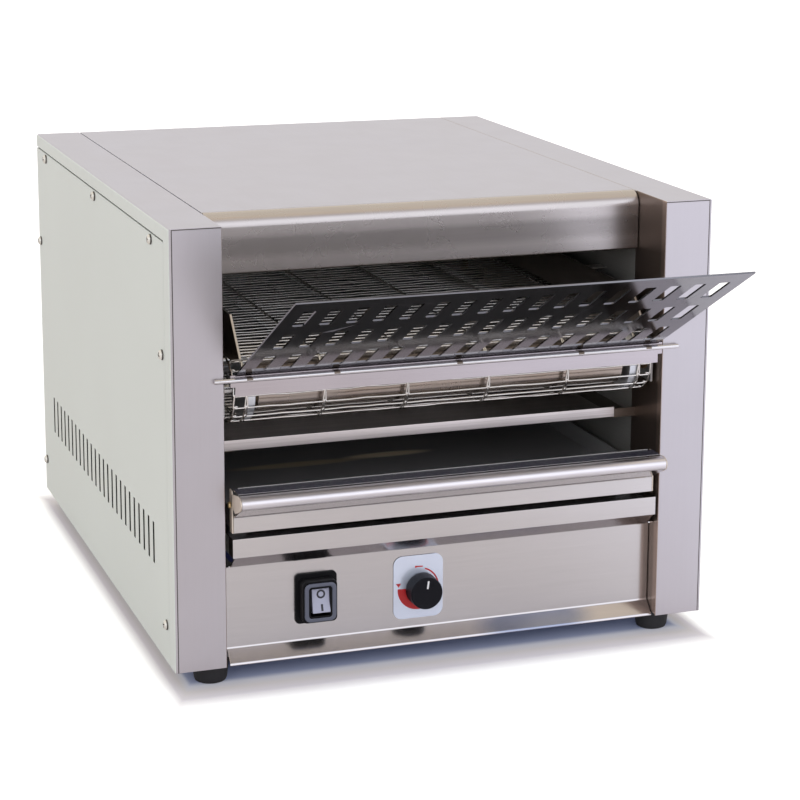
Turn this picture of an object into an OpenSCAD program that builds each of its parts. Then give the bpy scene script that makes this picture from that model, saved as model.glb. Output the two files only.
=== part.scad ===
// Conveyor toaster: a wire belt carries bread under and over heating elements,
// drops it on a curved slide, and the slide returns it to a tray at the front.
// X runs across the front, Y from the front to the back, Z up from the feet.

/* [Body] */
// Width over the side panels
body_w = 475; // [460:1:500]
// Depth from the front face to the back
body_d = 560; // [555:1:580]
// Height of the body above its feet
body_h = 368; // [366:1:380]
// Height of the rubber feet
foot_h = 19; // [12:1:25]
// Thickness of the stainless sheet
sheet = 1.2; // [1:0.1:1.5]
// Width of the front pillars
pillar_w = 43.5; // [40:0.5:46]
// Depth of the pillars' wrap round the sides
wrap_d = 18; // [12:1:24]

/* [Side panels] */
// Number of vent slots in each side panel
vent_count = 25; // [5:1:27]
// Pitch of the vent slots
vent_pitch = 18.1; // [14:0.1:18.5]
// Width of a vent slot
vent_w = 5.4; // [2:0.1:6]
// Height of a vent slot
vent_h = 36; // [20:1:50]

/* [Conveyor] */
// Radius of the belt's wire centres round a roller
belt_r = 26.7; // [26:0.1:27]
// Diameter of the belt wire
wire_d = 1.8; // [1.5:0.1:2]
// Half width of the belt
belt_half = 186; // [180:1:187]
// Height of the roller centres above the body's underside
roller_z = 227.3; // [224:0.1:230]
// Front roller centre behind the front face
front_roller_y = 30.5; // [30:0.5:34]
// Distance between the roller centres
roller_span = 441; // [430:10.5:451]
// Running clearance of shafts in their bushes
run_gap = 0.05; // [0.02:0.01:0.1]

/* [Loading chute] */
// Slope of the loading plate
chute_slope = 28.75; // [25:0.25:35]
// Length of the loading plate
chute_len = 196.7; // [150:0.1:210]
// Half width of the loading plate
chute_half = 187; // [180:0.5:188]
// Side play taken up by the hooked-on plate
chute_shift = 2.5; // [-3:0.5:3]
// Pitch of the slots across the plate
slot_pitch = 21.3; // [18:0.1:22]

/* [Tray] */
// Depth of the tray
tray_d = 400; // [300:5:400]
// Half width of the tray's pan
tray_half = 186; // [170:1:187]
// Height of the tray's side walls
tray_wall = 17; // [10:1:20]

/* [Controls] */
// Knob axis across the front
knob_x = -18.5; // [-40:0.1:20]
// Knob axis above the body's underside
knob_z = 42.3; // [40:0.1:48]
// Switch centre across the front
switch_x = -112.5; // [-140:0.5:-80]
// Switch centre above the body's underside
switch_z = 45.2; // [43:0.1:48]

/* [Hidden] */
$fn = 64;

half_w = body_w / 2;
inner_x = half_w - pillar_w;          // inner face of the pillars
gland_out = 14;                       // the gland stands out of the back
chute_reach = chute_len * cos(chute_slope);
front_y = -(body_d + gland_out - chute_reach) / 2;  // puts the origin under the middle
gap = 0.3;                            // clearance between loose pieces

belt_in = belt_r - wire_d / 2;
belt_out = belt_r + wire_d / 2;
wheel_r = belt_in - gap;
rear_roller_y = front_roller_y + roller_span;
shaft_r = 5;

bend_z = 245;                         // underside of the chute's bend
chute_t = 1.5;
strip_bottom = 228.5;
rod_r = 2;

deck_top = 109.6;
ledge_y = -4.7;
ledge_half = 189.2;
ledge_bottom = 93.5;
panel_y = 17.5;                       // face of the recessed control panel
panel_half = 191.5;
panel_shift = 1.9;                    // the panel sits a little to the right
panel_top = 79.5;
panel_bottom = 8.7;
lip_y = 6.5;
under_z = -1.2;                       // lower edge of the pillars and side panels

sprocket_x = 206;
motor_y = 440;
motor_z = 60;
shield_z = 168.7;
shield_y = 50;

// Helpers

// Puts a piece drawn from the front face and the underside into the part's frame
module placed() translate([0, front_y, foot_h]) children();

// Box given by its limits
module box(x0, x1, y0, y1, z0, z1) translate([x0, y0, z0]) cube([x1 - x0, y1 - y0, z1 - z0]);

// The same thing on both sides
module both() {
    children();
    mirror([1, 0, 0]) children();
}

// Outline in Y and Z drawn out along X
module along_x(x0, x1) translate([x0, 0, 0]) rotate([90, 0, 90]) linear_extrude(x1 - x0) children();

// Outline in X and Z drawn out along Y, from y0 back to y1
module along_y(y0, y1) translate([0, y1, 0]) rotate([90, 0, 0]) linear_extrude(y1 - y0) children();

// Round bar along X
module bar_x(x0, x1, y, z, r) translate([x0, y, z]) rotate([0, 90, 0]) cylinder(h = x1 - x0, r = r);

// Round bar along Y
module bar_y(y0, y1, x, z, r) translate([x, y1, z]) rotate([90, 0, 0]) cylinder(h = y1 - y0, r = r);

// Flat rectangle with round corners, centred
module pill(w, h, r) {
    square([w - 2 * r, h], center = true);
    square([w, h - 2 * r], center = true);
    for (sx = [-1, 1], sy = [-1, 1]) translate([sx * (w / 2 - r), sy * (h / 2 - r)]) circle(r = r);
}

// Outer casing

// Pillar, top strip and the lips behind the side panel, all one folded sheet
module side_frame() {
    skin = half_w - sheet;
    lip = skin - sheet - 0.2;
    panel_edge = body_h - 12;
    box(inner_x, half_w, 0, sheet, under_z, body_h);
    box(inner_x, inner_x + sheet, 0, 60, 0.1, body_h);
    box(skin, half_w, 0, wrap_d, under_z, body_h);
    box(lip, half_w, wrap_d - sheet, wrap_d, under_z, body_h);
    box(lip, lip + sheet, wrap_d - sheet, wrap_d + 14, under_z, body_h);
    box(inner_x, half_w, 0, body_d, body_h - sheet, body_h);
    box(skin, half_w, 0, body_d, panel_edge, body_h);
    box(lip, half_w, wrap_d, body_d - 2, panel_edge, panel_edge + sheet);
    box(lip, lip + sheet, wrap_d, body_d - 2, panel_edge - 14, panel_edge + sheet);
    box(inner_x, inner_x + sheet, 0, body_d - 4, panel_edge, body_h);
}
module left_frame() color("silver") placed() mirror([1, 0, 0]) side_frame();
module right_frame() color("silver") placed() side_frame();

screw_front_y = 27;
screw_back_y = 550;
screw_top_z = body_h - 18.5;
function side_screws() = [
    for (y = [61, 282, 512]) [y, screw_top_z],
    for (y = [screw_front_y, screw_back_y], z = [32, 261]) [y, z]
];

module side_panel() {
    first_vent = 67.7;
    vent_z = 72;
    difference() {
        box(half_w - sheet, half_w, wrap_d + 0.4, body_d, under_z, body_h - 13.4);
        for (i = [0:vent_count - 1]) {
            y = first_vent + i * vent_pitch;
            box(half_w - 5, half_w + 5, y, y + vent_w, vent_z, vent_z + vent_h);
        }
        for (s = side_screws()) bar_x(half_w - 5, half_w + 5, s[0], s[1], 2);
    }
}
module left_side_panel() color("gainsboro") placed() mirror([1, 0, 0]) side_panel();
module right_side_panel() color("gainsboro") placed() side_panel();

module side_panel_screws() color("silver") placed() both() for (s = side_screws()) {
    bar_x(half_w - sheet, half_w + 0.1, s[0], s[1], 1.9);
    bar_x(half_w, half_w + 3.4, s[0], s[1], 4.3);
}

hood_r = 12;
hood_y = 54;
hood_bottom = 319;
module top_panel() color("silver") placed() {
    edge = inner_x - 0.6;
    box(-edge, edge, hood_y + hood_r + 1, body_d, body_h - sheet, body_h);
    box(-edge, edge, hood_y + hood_r + 1, hood_y + hood_r + 1 + sheet, body_h - 12, body_h);
}

module front_hood() color("lightgrey") placed() along_x(-193.2, 193.2) {
    back = hood_y + hood_r;
    translate([back, body_h - hood_r]) intersection() {
        difference() {
            circle(r = hood_r);
            circle(r = hood_r - sheet);
        }
        translate([-hood_r, 0]) square(hood_r);
    }
    translate([back - 0.01, body_h - sheet]) square([0.7, sheet]);
    translate([back - 0.5, body_h - 11]) square([sheet, 11]);
    translate([hood_y, hood_bottom]) square([sheet, body_h - hood_r - hood_bottom]);
    translate([hood_y, hood_bottom]) square([14, sheet]);
}

gland_x = -150;
gland_z = 45;
back_plane = body_d - 1.4;
function back_screws() = [for (x = [-222, -74, 74, 222], z = [12, 354]) [x, z]];
module back_panel() color("silver") placed() difference() {
    box(-236, 236, back_plane, back_plane + sheet, 1.5, body_h - 1.5);
    for (i = [-9:9], z = [150, 290]) {
        translate([i * 20, body_d, z]) rotate([90, 0, 0]) linear_extrude(10) pill(6, 46, 3);
    }
    bar_y(body_d - 10, body_d + 10, gland_x, gland_z, 8);
    for (s = back_screws()) bar_y(body_d - 10, body_d + 10, s[0], s[1], 2);
}
module back_panel_screws() color("silver") placed() for (s = back_screws()) {
    bar_y(back_plane, body_d, s[0], s[1], 1.9);
    bar_y(back_plane + sheet, back_plane + sheet + 1.9, s[0], s[1], 4);
}

// Empty gland for a mains lead
module cable_gland() color("dimgrey") placed() difference() {
    union() {
        bar_y(back_plane - 12, back_plane + sheet + 1, gland_x, gland_z, 7.9);
        translate([gland_x, back_plane + sheet + 5, gland_z]) rotate([90, 30, 0]) {
            cylinder(h = 5, r = 11, $fn = 6);
        }
        bar_y(back_plane + sheet + 5, body_d + gland_out, gland_x, gland_z, 8.5);
        translate([gland_x, back_plane, gland_z]) rotate([90, 30, 0]) cylinder(h = 4, r = 11, $fn = 6);
    }
    bar_y(back_plane - 15, body_d + gland_out + 1, gland_x, gland_z, 4.2);
}

pan_half = half_w - 3.5;
foot_x = 202;
foot_y = [25, 530];
module base_pan() color("silver") placed() difference() {
    union() {
        box(-pan_half, pan_half, 21, 556, 0, sheet);
        both() box(pan_half - sheet, pan_half, 33.5, 556, 0, 18);
        box(-pan_half, pan_half, 556 - sheet, 556, 0, 18);
        box(-188.3, 188.3, 21, 21 + sheet, 0, 18);
    }
    both() box(inner_x - 0.3, inner_x + sheet + 0.3, 20, 60.3, -1, 3);
    for (i = [-5:5]) translate([i * 30, 300, -1]) linear_extrude(4) pill(6, 90, 3);
    for (sx = [-1, 1], y = foot_y) translate([sx * foot_x, y, -1]) cylinder(h = 4, r = 3);
}

module feet() color("black") placed() for (sx = [-1, 1], y = foot_y) translate([sx * foot_x, y, 0]) {
    translate([0, 0, -foot_h]) cylinder(h = foot_h, r1 = 13.8, r2 = 15.8);
    cylinder(h = 6, r = 2.9);
}

// Inside of the tunnel

wall_y0 = 60.3;
wall_y1 = 548;
module inner_wall(hole) difference() {
    box(inner_x, inner_x + sheet, wall_y0, wall_y1, deck_top + 0.2, body_h - sheet - 12.2);
    if (hole) bar_x(inner_x - 5, inner_x + 5, rear_roller_y, roller_z, 11);
}
module left_inner_wall() color("grey") placed() mirror([1, 0, 0]) inner_wall(false);
module right_inner_wall() color("grey") placed() inner_wall(true);

module ceiling_reflector() color("grey") placed() {
    box(-193.7, 193.7, hood_y + hood_r + 2.5, wall_y1, 344, 345);
    box(-193.7, 193.7, hood_y + hood_r + 2.5, hood_y + hood_r + 3.5, 322, 345);
}

element_ys = [105, 208, 311, 414];
upper_z = 331;
lower_z = 226;
element_r = 5.5;
module upper_elements() color("dimgrey") placed() for (y = element_ys) {
    bar_x(-186, 186, y, upper_z, element_r);
}
module lower_elements() color("dimgrey") placed() for (y = element_ys) {
    bar_x(-187.5, 187.5, y, lower_z, element_r);
}
module upper_element_holders() color("white") placed() both() for (y = element_ys) {
    box(186, inner_x, y - 9, y + 9, upper_z - 9, upper_z + 9);
}
module lower_element_holders() color("white") placed() both() for (y = element_ys) {
    box(187.5, 190, y - 9, y + 9, lower_z - 9, lower_z + 9);
}

// Conveyor

rail_x = 190;
rail_t = 2;
bush_r = 9;
function roller_ys() = [front_roller_y, rear_roller_y];
module rail() difference() {
    union() {
        box(rail_x, rail_x + rail_t, 14, 490, 208, 247);
        for (y = [100, 280, 450]) bar_x(rail_x, inner_x, y, 215, 5);
    }
    for (y = roller_ys()) bar_x(rail_x - 5, rail_x + 10, y, roller_z, bush_r);
}
module left_rail() color("darkgrey") placed() mirror([1, 0, 0]) rail();
module right_rail() color("darkgrey") placed() rail();

module roller_bushes() color("peru") placed() both() for (y = roller_ys()) difference() {
    union() {
        bar_x(rail_x - 1.6, rail_x, y, roller_z, bush_r + 2);
        bar_x(rail_x, rail_x + 3.6, y, roller_z, bush_r);
    }
    bar_x(rail_x - 5, rail_x + 10, y, roller_z, shaft_r + run_gap);
}

tie_z = 240;
tie_ys = [75, 438];
module cross_ties() color("silver") placed() for (y = tie_ys) bar_x(-rail_x, rail_x, y, tie_z, 4);

runner_xs = [-120, -40, 40, 120];
module belt_runners() color("silver") placed() difference() {
    for (x = runner_xs) box(x - 1.5, x + 1.5, 62, 450, 232, roller_z + belt_in - gap);
    for (y = element_ys) bar_x(-130, 130, y, lower_z, element_r + 3);
    for (y = tie_ys) bar_x(-130, 130, y, tie_z, 4);
}

// The belt's loop with its openings, in flat runs and half turns: cross wires and links
link_xs = [-186, -165, -99, -33, 33, 99, 165, 186];
belt_window = 21;
module belt_windows(depth0, depth1) {
    edge = belt_window / 2 - 0.9;
    for (i = [0:len(link_xs) - 2]) {
        box(link_xs[i] + 1.2, link_xs[i + 1] - 1.2, -edge, edge, depth0, depth1);
    }
}
module belt_run(z) difference() {
    box(-belt_half, belt_half, front_roller_y, rear_roller_y, z, z + wire_d);
    for (i = [0:roller_span / belt_window - 1]) {
        translate([0, front_roller_y + (i + 0.5) * belt_window, z]) belt_windows(-1, wire_d + 1);
    }
}
module belt_carrying_run() color("silver") placed() belt_run(roller_z + belt_in);
module belt_return_run() color("silver") placed() belt_run(roller_z - belt_out);
module belt_turns() color("silver") placed() for (end = [0, 1]) difference() {
    along_x(-belt_half, belt_half) translate([roller_ys()[end], roller_z]) intersection() {
        difference() {
            circle(r = belt_out, $fn = 96);
            circle(r = belt_in, $fn = 96);
        }
        translate([end == 0 ? -40 : 0, -40]) square([40, 80]);
    }
    for (i = [0:3]) translate([0, roller_ys()[end], roller_z]) {
        rotate([(end == 0 ? 0 : 180) + (i + 0.5) * 45, 0, 0]) belt_windows(15, 40);
    }
}

module front_shaft() color("silver") placed() bar_x(-193.4, 193.4, front_roller_y, roller_z, shaft_r);
wheel_x = 170;
wheel_w = 7.6;
module belt_wheel(x, y) difference() {
    bar_x(x - wheel_w / 2, x + wheel_w / 2, y, roller_z, wheel_r);
    bar_x(x - wheel_w, x + wheel_w, y, roller_z, shaft_r);
}
module front_roller() color("rosybrown") placed() {
    difference() {
        bar_x(-162, 162, front_roller_y, roller_z, 20);
        bar_x(-163, 163, front_roller_y, roller_z, 18.5);
    }
    both() difference() {
        bar_x(152, 156, front_roller_y, roller_z, 18.6);
        bar_x(150, 158, front_roller_y, roller_z, shaft_r);
        for (a = [0, 120, 240]) translate([0, front_roller_y, roller_z]) {
            rotate([a, 0, 0]) bar_x(150, 158, 0, 11.5, 4);
        }
    }
}
module front_belt_wheels() color("lightgrey") placed() both() belt_wheel(wheel_x, front_roller_y);
module rear_shaft() color("silver") placed() bar_x(-193.4, sprocket_x + 6, rear_roller_y, roller_z, shaft_r);
module rear_belt_wheels() color("lightgrey") placed() both() for (x = [57, wheel_x]) {
    belt_wheel(x, rear_roller_y);
}

// Drive

teeth = 14;
tip_r = 23.6;
root_r = 19.5;
tooth_half = 1.9;
// Toothed disc; the tips are narrower than the roots
function tooth_points() = [
    for (i = [0:teeth - 1], k = [[-0.3, 0], [-0.12, 1], [0.12, 1], [0.3, 0]])
        let (a = (i + k[0]) * 360 / teeth, r = k[1] == 1 ? tip_r : root_r) [r * cos(a), r * sin(a)]
];
module sprocket(y, z) difference() {
    union() {
        translate([sprocket_x - tooth_half, y, z]) rotate([90, 0, 90]) linear_extrude(2 * tooth_half) {
            polygon(tooth_points());
        }
        bar_x(sprocket_x, sprocket_x + 6, y, z, 10);
    }
    bar_x(sprocket_x - 20, sprocket_x + 20, y, z, shaft_r);
}
module shaft_sprocket() color("dimgrey") placed() sprocket(rear_roller_y, roller_z);
module motor_sprocket() color("dimgrey") placed() sprocket(motor_y, motor_z);
module motor_shaft() color("silver") placed() bar_x(171, sprocket_x + 6, motor_y, motor_z, shaft_r);

module gearmotor() color("dimgrey") placed() difference() {
    union() {
        box(145, 190, motor_y - 32, motor_y + 32, motor_z - 30, motor_z + 30);
        bar_x(60, 145.01, motor_y, motor_z, 29);
        bar_x(50, 60.01, motor_y, motor_z, 14);
    }
    bar_x(170.5, 191, motor_y, motor_z, shaft_r + run_gap);
    for (sy = [-1, 1], sz = [-1, 1]) bar_x(180, 191, motor_y + sy * 25, motor_z + sz * 23, 2);
}
module motor_bracket() color("silver") placed() difference() {
    union() {
        box(190, 192, motor_y - 40, motor_y + 40, sheet, 98);
        box(192, 222, motor_y - 40, motor_y - 30, sheet, sheet + 2);
        box(192, 222, motor_y + 30, motor_y + 40, sheet, sheet + 2);
    }
    bar_x(180, 200, motor_y, motor_z, 8);
    for (sy = [-1, 1], sz = [-1, 1]) bar_x(180, 200, motor_y + sy * 25, motor_z + sz * 23, 2);
}

// Two rows of link plates either side of the teeth, joined by pins on the straight runs
chain_run = norm([rear_roller_y - motor_y, roller_z - motor_z]);
chain_tilt = atan2(roller_z - motor_z, rear_roller_y - motor_y);
module chain_track(r) {
    circle(r = r);
    translate([chain_run, 0]) circle(r = r);
    translate([0, -r]) square([chain_run, 2 * r]);
}
module drive_chain() color("grey") placed() translate([sprocket_x, motor_y, motor_z]) {
    for (x0 = [-3.6, 2.4]) translate([x0, 0, 0]) rotate([90, 0, 90]) linear_extrude(1.2) {
        rotate([0, 0, chain_tilt]) difference() {
            chain_track(24.8);
            chain_track(18);
        }
    }
    rotate([chain_tilt, 0, 0]) for (s = [0:9], side = [-1, 1]) {
        bar_x(-3, 3, 40 + s * (chain_run - 80) / 9, side * 21.4, 1.6);
    }
}

// Bread path

guide_x = 178;
guide_top = 289;
guide_end = 480;
guide_bottom = 257;
module side_guide() {
    rise = guide_top - guide_bottom;
    edge = sheet * norm([30, rise]) / rise;
    along_x(guide_x, guide_x + sheet) {
        polygon([[3, guide_bottom], [guide_end, guide_bottom], [guide_end, guide_top], [33, guide_top]]);
    }
    along_x(guide_x, guide_x + 2) polygon([
        [3, guide_bottom], [33, guide_top], [guide_end, guide_top], [guide_end, guide_top - sheet],
        [3 + edge + 30 * (rise - sheet) / rise, guide_top - sheet], [3 + edge, guide_bottom]
    ]);
    box(guide_x, 186.6, 3, guide_end, guide_bottom, guide_bottom + sheet);
    for (y = [120, 290, 450]) box(guide_x + 1, inner_x, y, y + 14, guide_top - sheet, guide_top);
}
module left_guide() color("silver") placed() mirror([1, 0, 0]) side_guide();
module right_guide() color("silver") placed() side_guide();

module heat_shield() color("silver") placed() {
    box(-192, 173, shield_y, 440, shield_z, shield_z + sheet);
    box(-192, 173, shield_y, shield_y + sheet, shield_z, shield_z + 9.3);
}
module shield_supports() color("grey") placed() {
    both() box(172, inner_x, shield_y + 3, 440, shield_z - sheet, shield_z);
    box(173.4, inner_x, shield_y + 3, shield_y + 3 + sheet, shield_z - sheet, shield_z + 6.5);
}

slide_r = 90;
slide_y = 455;
slide_z = 141;
module toast_slide() color("silver") placed() along_x(-193.6, 193.6) {
    translate([slide_y, slide_z + slide_r]) intersection() {
        difference() {
            circle(r = slide_r, $fn = 180);
            circle(r = slide_r - 1, $fn = 180);
        }
        translate([0, -slide_r]) square(slide_r);
    }
    translate([slide_y + slide_r - 1, slide_z + slide_r]) square([1, 340 - slide_z - slide_r]);
    polygon([[395, 133.5], [slide_y, slide_z], [slide_y, slide_z + 1], [395, 134.5]]);
}

module exit_deck() color("silver") placed() {
    box(-ledge_half, ledge_half, ledge_y, 470, deck_top - sheet, deck_top);
    box(-ledge_half, ledge_half, ledge_y, ledge_y + sheet, ledge_bottom, deck_top);
    both() box(ledge_half - sheet, ledge_half, ledge_y, ledge_y + 13, ledge_bottom, deck_top);
    both() box(inner_x - 20, inner_x, 64, 470, deck_top - sheet, deck_top);
}

tray_floor = 114.4;
module tray_runners() color("grey") placed() both() {
    box(168, 182, 32, 380, deck_top, tray_floor - gap);
}
module tray_pan() color("grey") placed() {
    y0 = 0.7;
    t = 1;
    top = tray_floor + tray_wall;
    box(-tray_half, tray_half, y0, tray_d, tray_floor, tray_floor + t);
    both() box(tray_half - t, tray_half, y0, tray_d, tray_floor, top);
    box(-tray_half, tray_half, tray_d - t, tray_d, tray_floor, top);
    box(-183, 183, y0, y0 + t, tray_floor, 151.5);
}

// Rolled front of the tray: a round nose, a flat top and a sloping underside
nose_r = 5.5;
nose_y = -22.7;
nose_z = 144.7;
grip_root_z = 127;
function nose_tangent(r, y, z) =
    let (dy = y - nose_y, dz = z - nose_z, d = norm([dy, dz])) atan2(dz, dy) - acos(r / d);
function grip_outline(r, root) = concat(
    [for (i = [0:10]) let (a1 = nose_tangent(r, 0, root), a = 90 + (a1 + 360 - 90) * i / 10)
        [nose_y + r * cos(a), nose_z + r * sin(a)]],
    [[0, root]]
);
module tray_handle() color("silver") placed() {
    half = 188.5;
    front = -0.5;
    t = 1.2;
    box(-half, half, front, front + t, 113.5, grip_root_z + 1.5);
    both() box(half - t, half, front, front + 8, 113.5, 150);
    along_x(-half, half) {
        difference() {
            polygon(concat(grip_outline(nose_r, grip_root_z), [[0, nose_z + nose_r]]));
            polygon(concat(grip_outline(nose_r - t, grip_root_z + 1.9), [[0.6, nose_z + nose_r - t]]));
        }
    }
    both() box(half - t, half, -14, 0, 134, 150);
}
module tray_screws() color("goldenrod") placed() both() {
    bar_x(188.5, 190.7, 4, 137, 2.6);
}

// Loading chute

module chute_slots() {
    for (i = [-8:8], s = [34.8, 95.3, 156.3]) translate([i * slot_pitch, s, 0]) {
        linear_extrude(10, center = true) pill(9.7, 39.5, 1.6);
    }
}
// Notched ears at the ends hang over fixed pegs
ear_x = 191;
peg_y = 8;
peg_z = 239.5;
peg_r = 2.8;
module chute_plate() color("silver") placed() translate([chute_shift, 0, 0]) {
    translate([0, 0, bend_z]) rotate([-chute_slope, 0, 0]) mirror([0, 1, 0]) difference() {
        box(-chute_half, chute_half, 0, chute_len, 0, chute_t);
        chute_slots();
    }
    along_x(-chute_half, chute_half) polygon([
        [-2, bend_z + 2 * tan(chute_slope)],
        [-0.3, bend_z + 0.3 * tan(chute_slope)],
        [-0.3, strip_bottom],
        [1.2, strip_bottom],
        [1.2, bend_z + 1],
        [-1, bend_z + 2.3]
    ]);
    both() box(chute_half - 0.01, ear_x, -0.3, 1.2, 236, 246);
    both() difference() {
        box(ear_x - 1.5, ear_x, 0, 13, 236, 246);
        bar_x(ear_x - 5, ear_x + 5, peg_y, peg_z, peg_r + gap);
        box(ear_x - 5, ear_x + 5, peg_y - peg_r - gap, peg_y + peg_r + gap, 230, peg_z);
    }
}
module chute_rod() color("silver") placed() {
    bar_x(chute_shift - 205, chute_shift + 205, -0.3 - rod_r, 242.2, rod_r);
}
module chute_pegs() color("silver") placed() {
    both() bar_x(belt_half + 0.6, inner_x, peg_y, peg_z, peg_r);
}

// Controls

// Folded from the shelf under the ledge, down the face, out along the lip to its hem
shelf_y = 8.4;
shelf_z = 82;
lip_z = -1.5;
module control_panel() color("silver") placed() difference() {
    along_x(panel_shift - panel_half, panel_shift + panel_half) polygon([
        [ledge_y + 1.3, ledge_bottom - 0.3], [shelf_y, shelf_z], [panel_y, panel_top],
        [panel_y, panel_bottom], [lip_y, lip_z], [lip_y, lip_z - 1.6], [lip_y + sheet, lip_z - 1.6],
        [lip_y + sheet, lip_z - 0.5], [panel_y + sheet, panel_bottom - 0.5],
        [panel_y + sheet, panel_top + 0.9], [shelf_y + 0.5, shelf_z + 1.2],
        [ledge_y + 1.3, ledge_bottom + 1.4]
    ]);
    bar_y(10, 30, knob_x, knob_z, 5.2);
    box(switch_x - 11, switch_x + 11, 10, 30, switch_z - 15, switch_z + 15);
    both() box(ledge_half - sheet - gap, half_w, -10, 8, ledge_bottom - gap, ledge_bottom + 5);
}

module switch_housing() color("black") placed() translate([switch_x, 0, switch_z]) difference() {
    union() {
        along_y(15.5, panel_y) pill(36.4, 43.6, 4);
        along_y(4, 15.5) pill(30, 36, 4);
        box(-10.8, 10.8, panel_y, 42, -14.8, 14.8);
    }
    box(-9.5, 9.5, 0, 16, -12.5, 12.5);
}
module switch_frame() color("slategrey") placed() translate([switch_x, 0, switch_z]) {
    along_y(2, 4) difference() {
        pill(27.6, 33.4, 5);
        pill(17, 24, 1.5);
    }
}
rocker_y = 10;
rocker_tilt = -12;
module rocker() color("white") placed() translate([switch_x, rocker_y, switch_z]) {
    rotate([rocker_tilt, 0, 0]) {
        box(-7.7, 7.7, -6.2, 0, -10.2, 10.2);
        bar_x(-7.7, 7.7, 0, 0, 4);
    }
}

dial_x = -21.4;
module dial_plate() color("lavender") placed() along_y(16.7, panel_y) difference() {
    translate([dial_x, 44.5]) pill(44.7, 55.8, 8);
    translate([knob_x, knob_z]) circle(r = 5.3);
}
module regulator() color("dimgrey") placed() difference() {
    union() {
        bar_y(panel_y + sheet, 48, knob_x, knob_z, 21);
        bar_y(14.8, panel_y + sheet, knob_x, knob_z, 5);
        for (x = [-12, 0, 12]) box(knob_x + x - 3, knob_x + x + 3, 48, 56, knob_z - 1, knob_z + 1);
    }
    bar_y(0, 40, knob_x, knob_z, 3 + run_gap);
}
module knob_spindle() color("silver") placed() bar_y(6, 39.5, knob_x, knob_z, 3);
module control_knob() color("black") placed() translate([knob_x, 0, knob_z]) difference() {
    rotate([-90, 0, 0]) rotate_extrude() polygon([
        [0, 2], [13.4, 2], [14.1, 2.7], [14.5, 13], [14.5, 16.2], [0, 16.2]
    ]);
    bar_y(6, 20, 0, 0, 3);
    bar_y(14, 20, 0, 0, 6);
}

module terminal_block() color("ivory") placed() difference() {
    box(-175, -120, 500, 522, sheet, 24);
    for (i = [0:4]) translate([-168 + i * 10, 511, 10]) cylinder(h = 20, r = 3);
}

left_frame();
right_frame();
left_side_panel();
right_side_panel();
side_panel_screws();
top_panel();
front_hood();
back_panel();
back_panel_screws();
cable_gland();
base_pan();
feet();
left_inner_wall();
right_inner_wall();
ceiling_reflector();
upper_elements();
lower_elements();
upper_element_holders();
lower_element_holders();
left_rail();
right_rail();
roller_bushes();
cross_ties();
belt_runners();
belt_carrying_run();
belt_return_run();
belt_turns();
front_shaft();
front_roller();
front_belt_wheels();
rear_shaft();
rear_belt_wheels();
shaft_sprocket();
gearmotor();
motor_bracket();
motor_shaft();
motor_sprocket();
drive_chain();
left_guide();
right_guide();
heat_shield();
shield_supports();
toast_slide();
exit_deck();
tray_runners();
tray_pan();
tray_handle();
tray_screws();
chute_plate();
chute_rod();
chute_pegs();
control_panel();
switch_housing();
switch_frame();
rocker();
dial_plate();
regulator();
knob_spindle();
control_knob();
terminal_block();
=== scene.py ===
import math
import random
import bpy
import bmesh
from mathutils import Matrix, Vector


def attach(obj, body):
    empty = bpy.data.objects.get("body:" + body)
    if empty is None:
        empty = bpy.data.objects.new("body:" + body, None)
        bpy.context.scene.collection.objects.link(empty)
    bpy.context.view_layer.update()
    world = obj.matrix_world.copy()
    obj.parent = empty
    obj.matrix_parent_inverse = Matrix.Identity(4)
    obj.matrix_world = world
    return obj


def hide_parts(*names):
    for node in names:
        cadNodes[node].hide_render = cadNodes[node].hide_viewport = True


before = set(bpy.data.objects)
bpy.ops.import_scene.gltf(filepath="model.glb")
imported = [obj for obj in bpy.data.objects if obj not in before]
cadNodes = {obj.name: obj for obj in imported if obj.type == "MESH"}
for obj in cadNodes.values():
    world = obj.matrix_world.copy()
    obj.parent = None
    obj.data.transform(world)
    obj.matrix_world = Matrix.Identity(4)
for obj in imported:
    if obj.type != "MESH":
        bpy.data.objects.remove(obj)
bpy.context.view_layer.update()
print("toaster:", len(cadNodes), "solids loaded")

# Everything is drawn in mm: x from the middle, y back from the front face, z up from the underside.
# frontY and footH place that drawing in the frame, in metres.
shell = {"frontY": -0.200774, "footH": 0.019, "halfW": 237.5, "height": 368.0, "innerX": 194.0,
         "sheet": 1.2}


# Camera

cameraSet = {"place": (-657.0, -1766.3, 699.35), "azimuth": 20.1263, "elevation": -12.0906,
             "roll": 0.4246, "lens": 105.075, "shift": (-0.05, -0.125)}


def toRow(x, y, z):
    return Vector((x / 1000, y / 1000 + shell["frontY"], z / 1000 + shell["footH"]))


def linkObject(name, data):
    obj = bpy.data.objects.new(name, data)
    bpy.context.collection.objects.link(obj)
    return obj


def aimCamera():
    az, el, roll = (math.radians(cameraSet[k]) for k in ("azimuth", "elevation", "roll"))
    ahead = Vector((math.sin(az) * math.cos(el), math.cos(az) * math.cos(el), math.sin(el)))
    side = ahead.cross(Vector((0, 0, 1))).normalized()
    rise = side.cross(ahead)
    right = side * math.cos(roll) + rise * math.sin(roll)
    up = rise * math.cos(roll) - side * math.sin(roll)
    data = bpy.data.cameras.new("camera")
    data.lens = cameraSet["lens"]
    data.sensor_width = 36
    data.shift_x, data.shift_y = cameraSet["shift"]
    data.clip_end = 100
    cam = linkObject("camera", data)
    axes = Matrix((right, up, -ahead)).transposed().to_4x4()
    cam.matrix_world = Matrix.Translation(toRow(*cameraSet["place"])) @ axes
    bpy.context.scene.camera = cam


aimCamera()
print("toaster: camera set")


# Material helpers

def feed(tree, item, inputs):
    # Each input takes another node's output or a plain value
    for key, value in (inputs or {}).items():
        if isinstance(value, bpy.types.NodeSocket):
            tree.links.new(value, item.inputs[key])
        else:
            item.inputs[key].default_value = value
    return item


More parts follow.
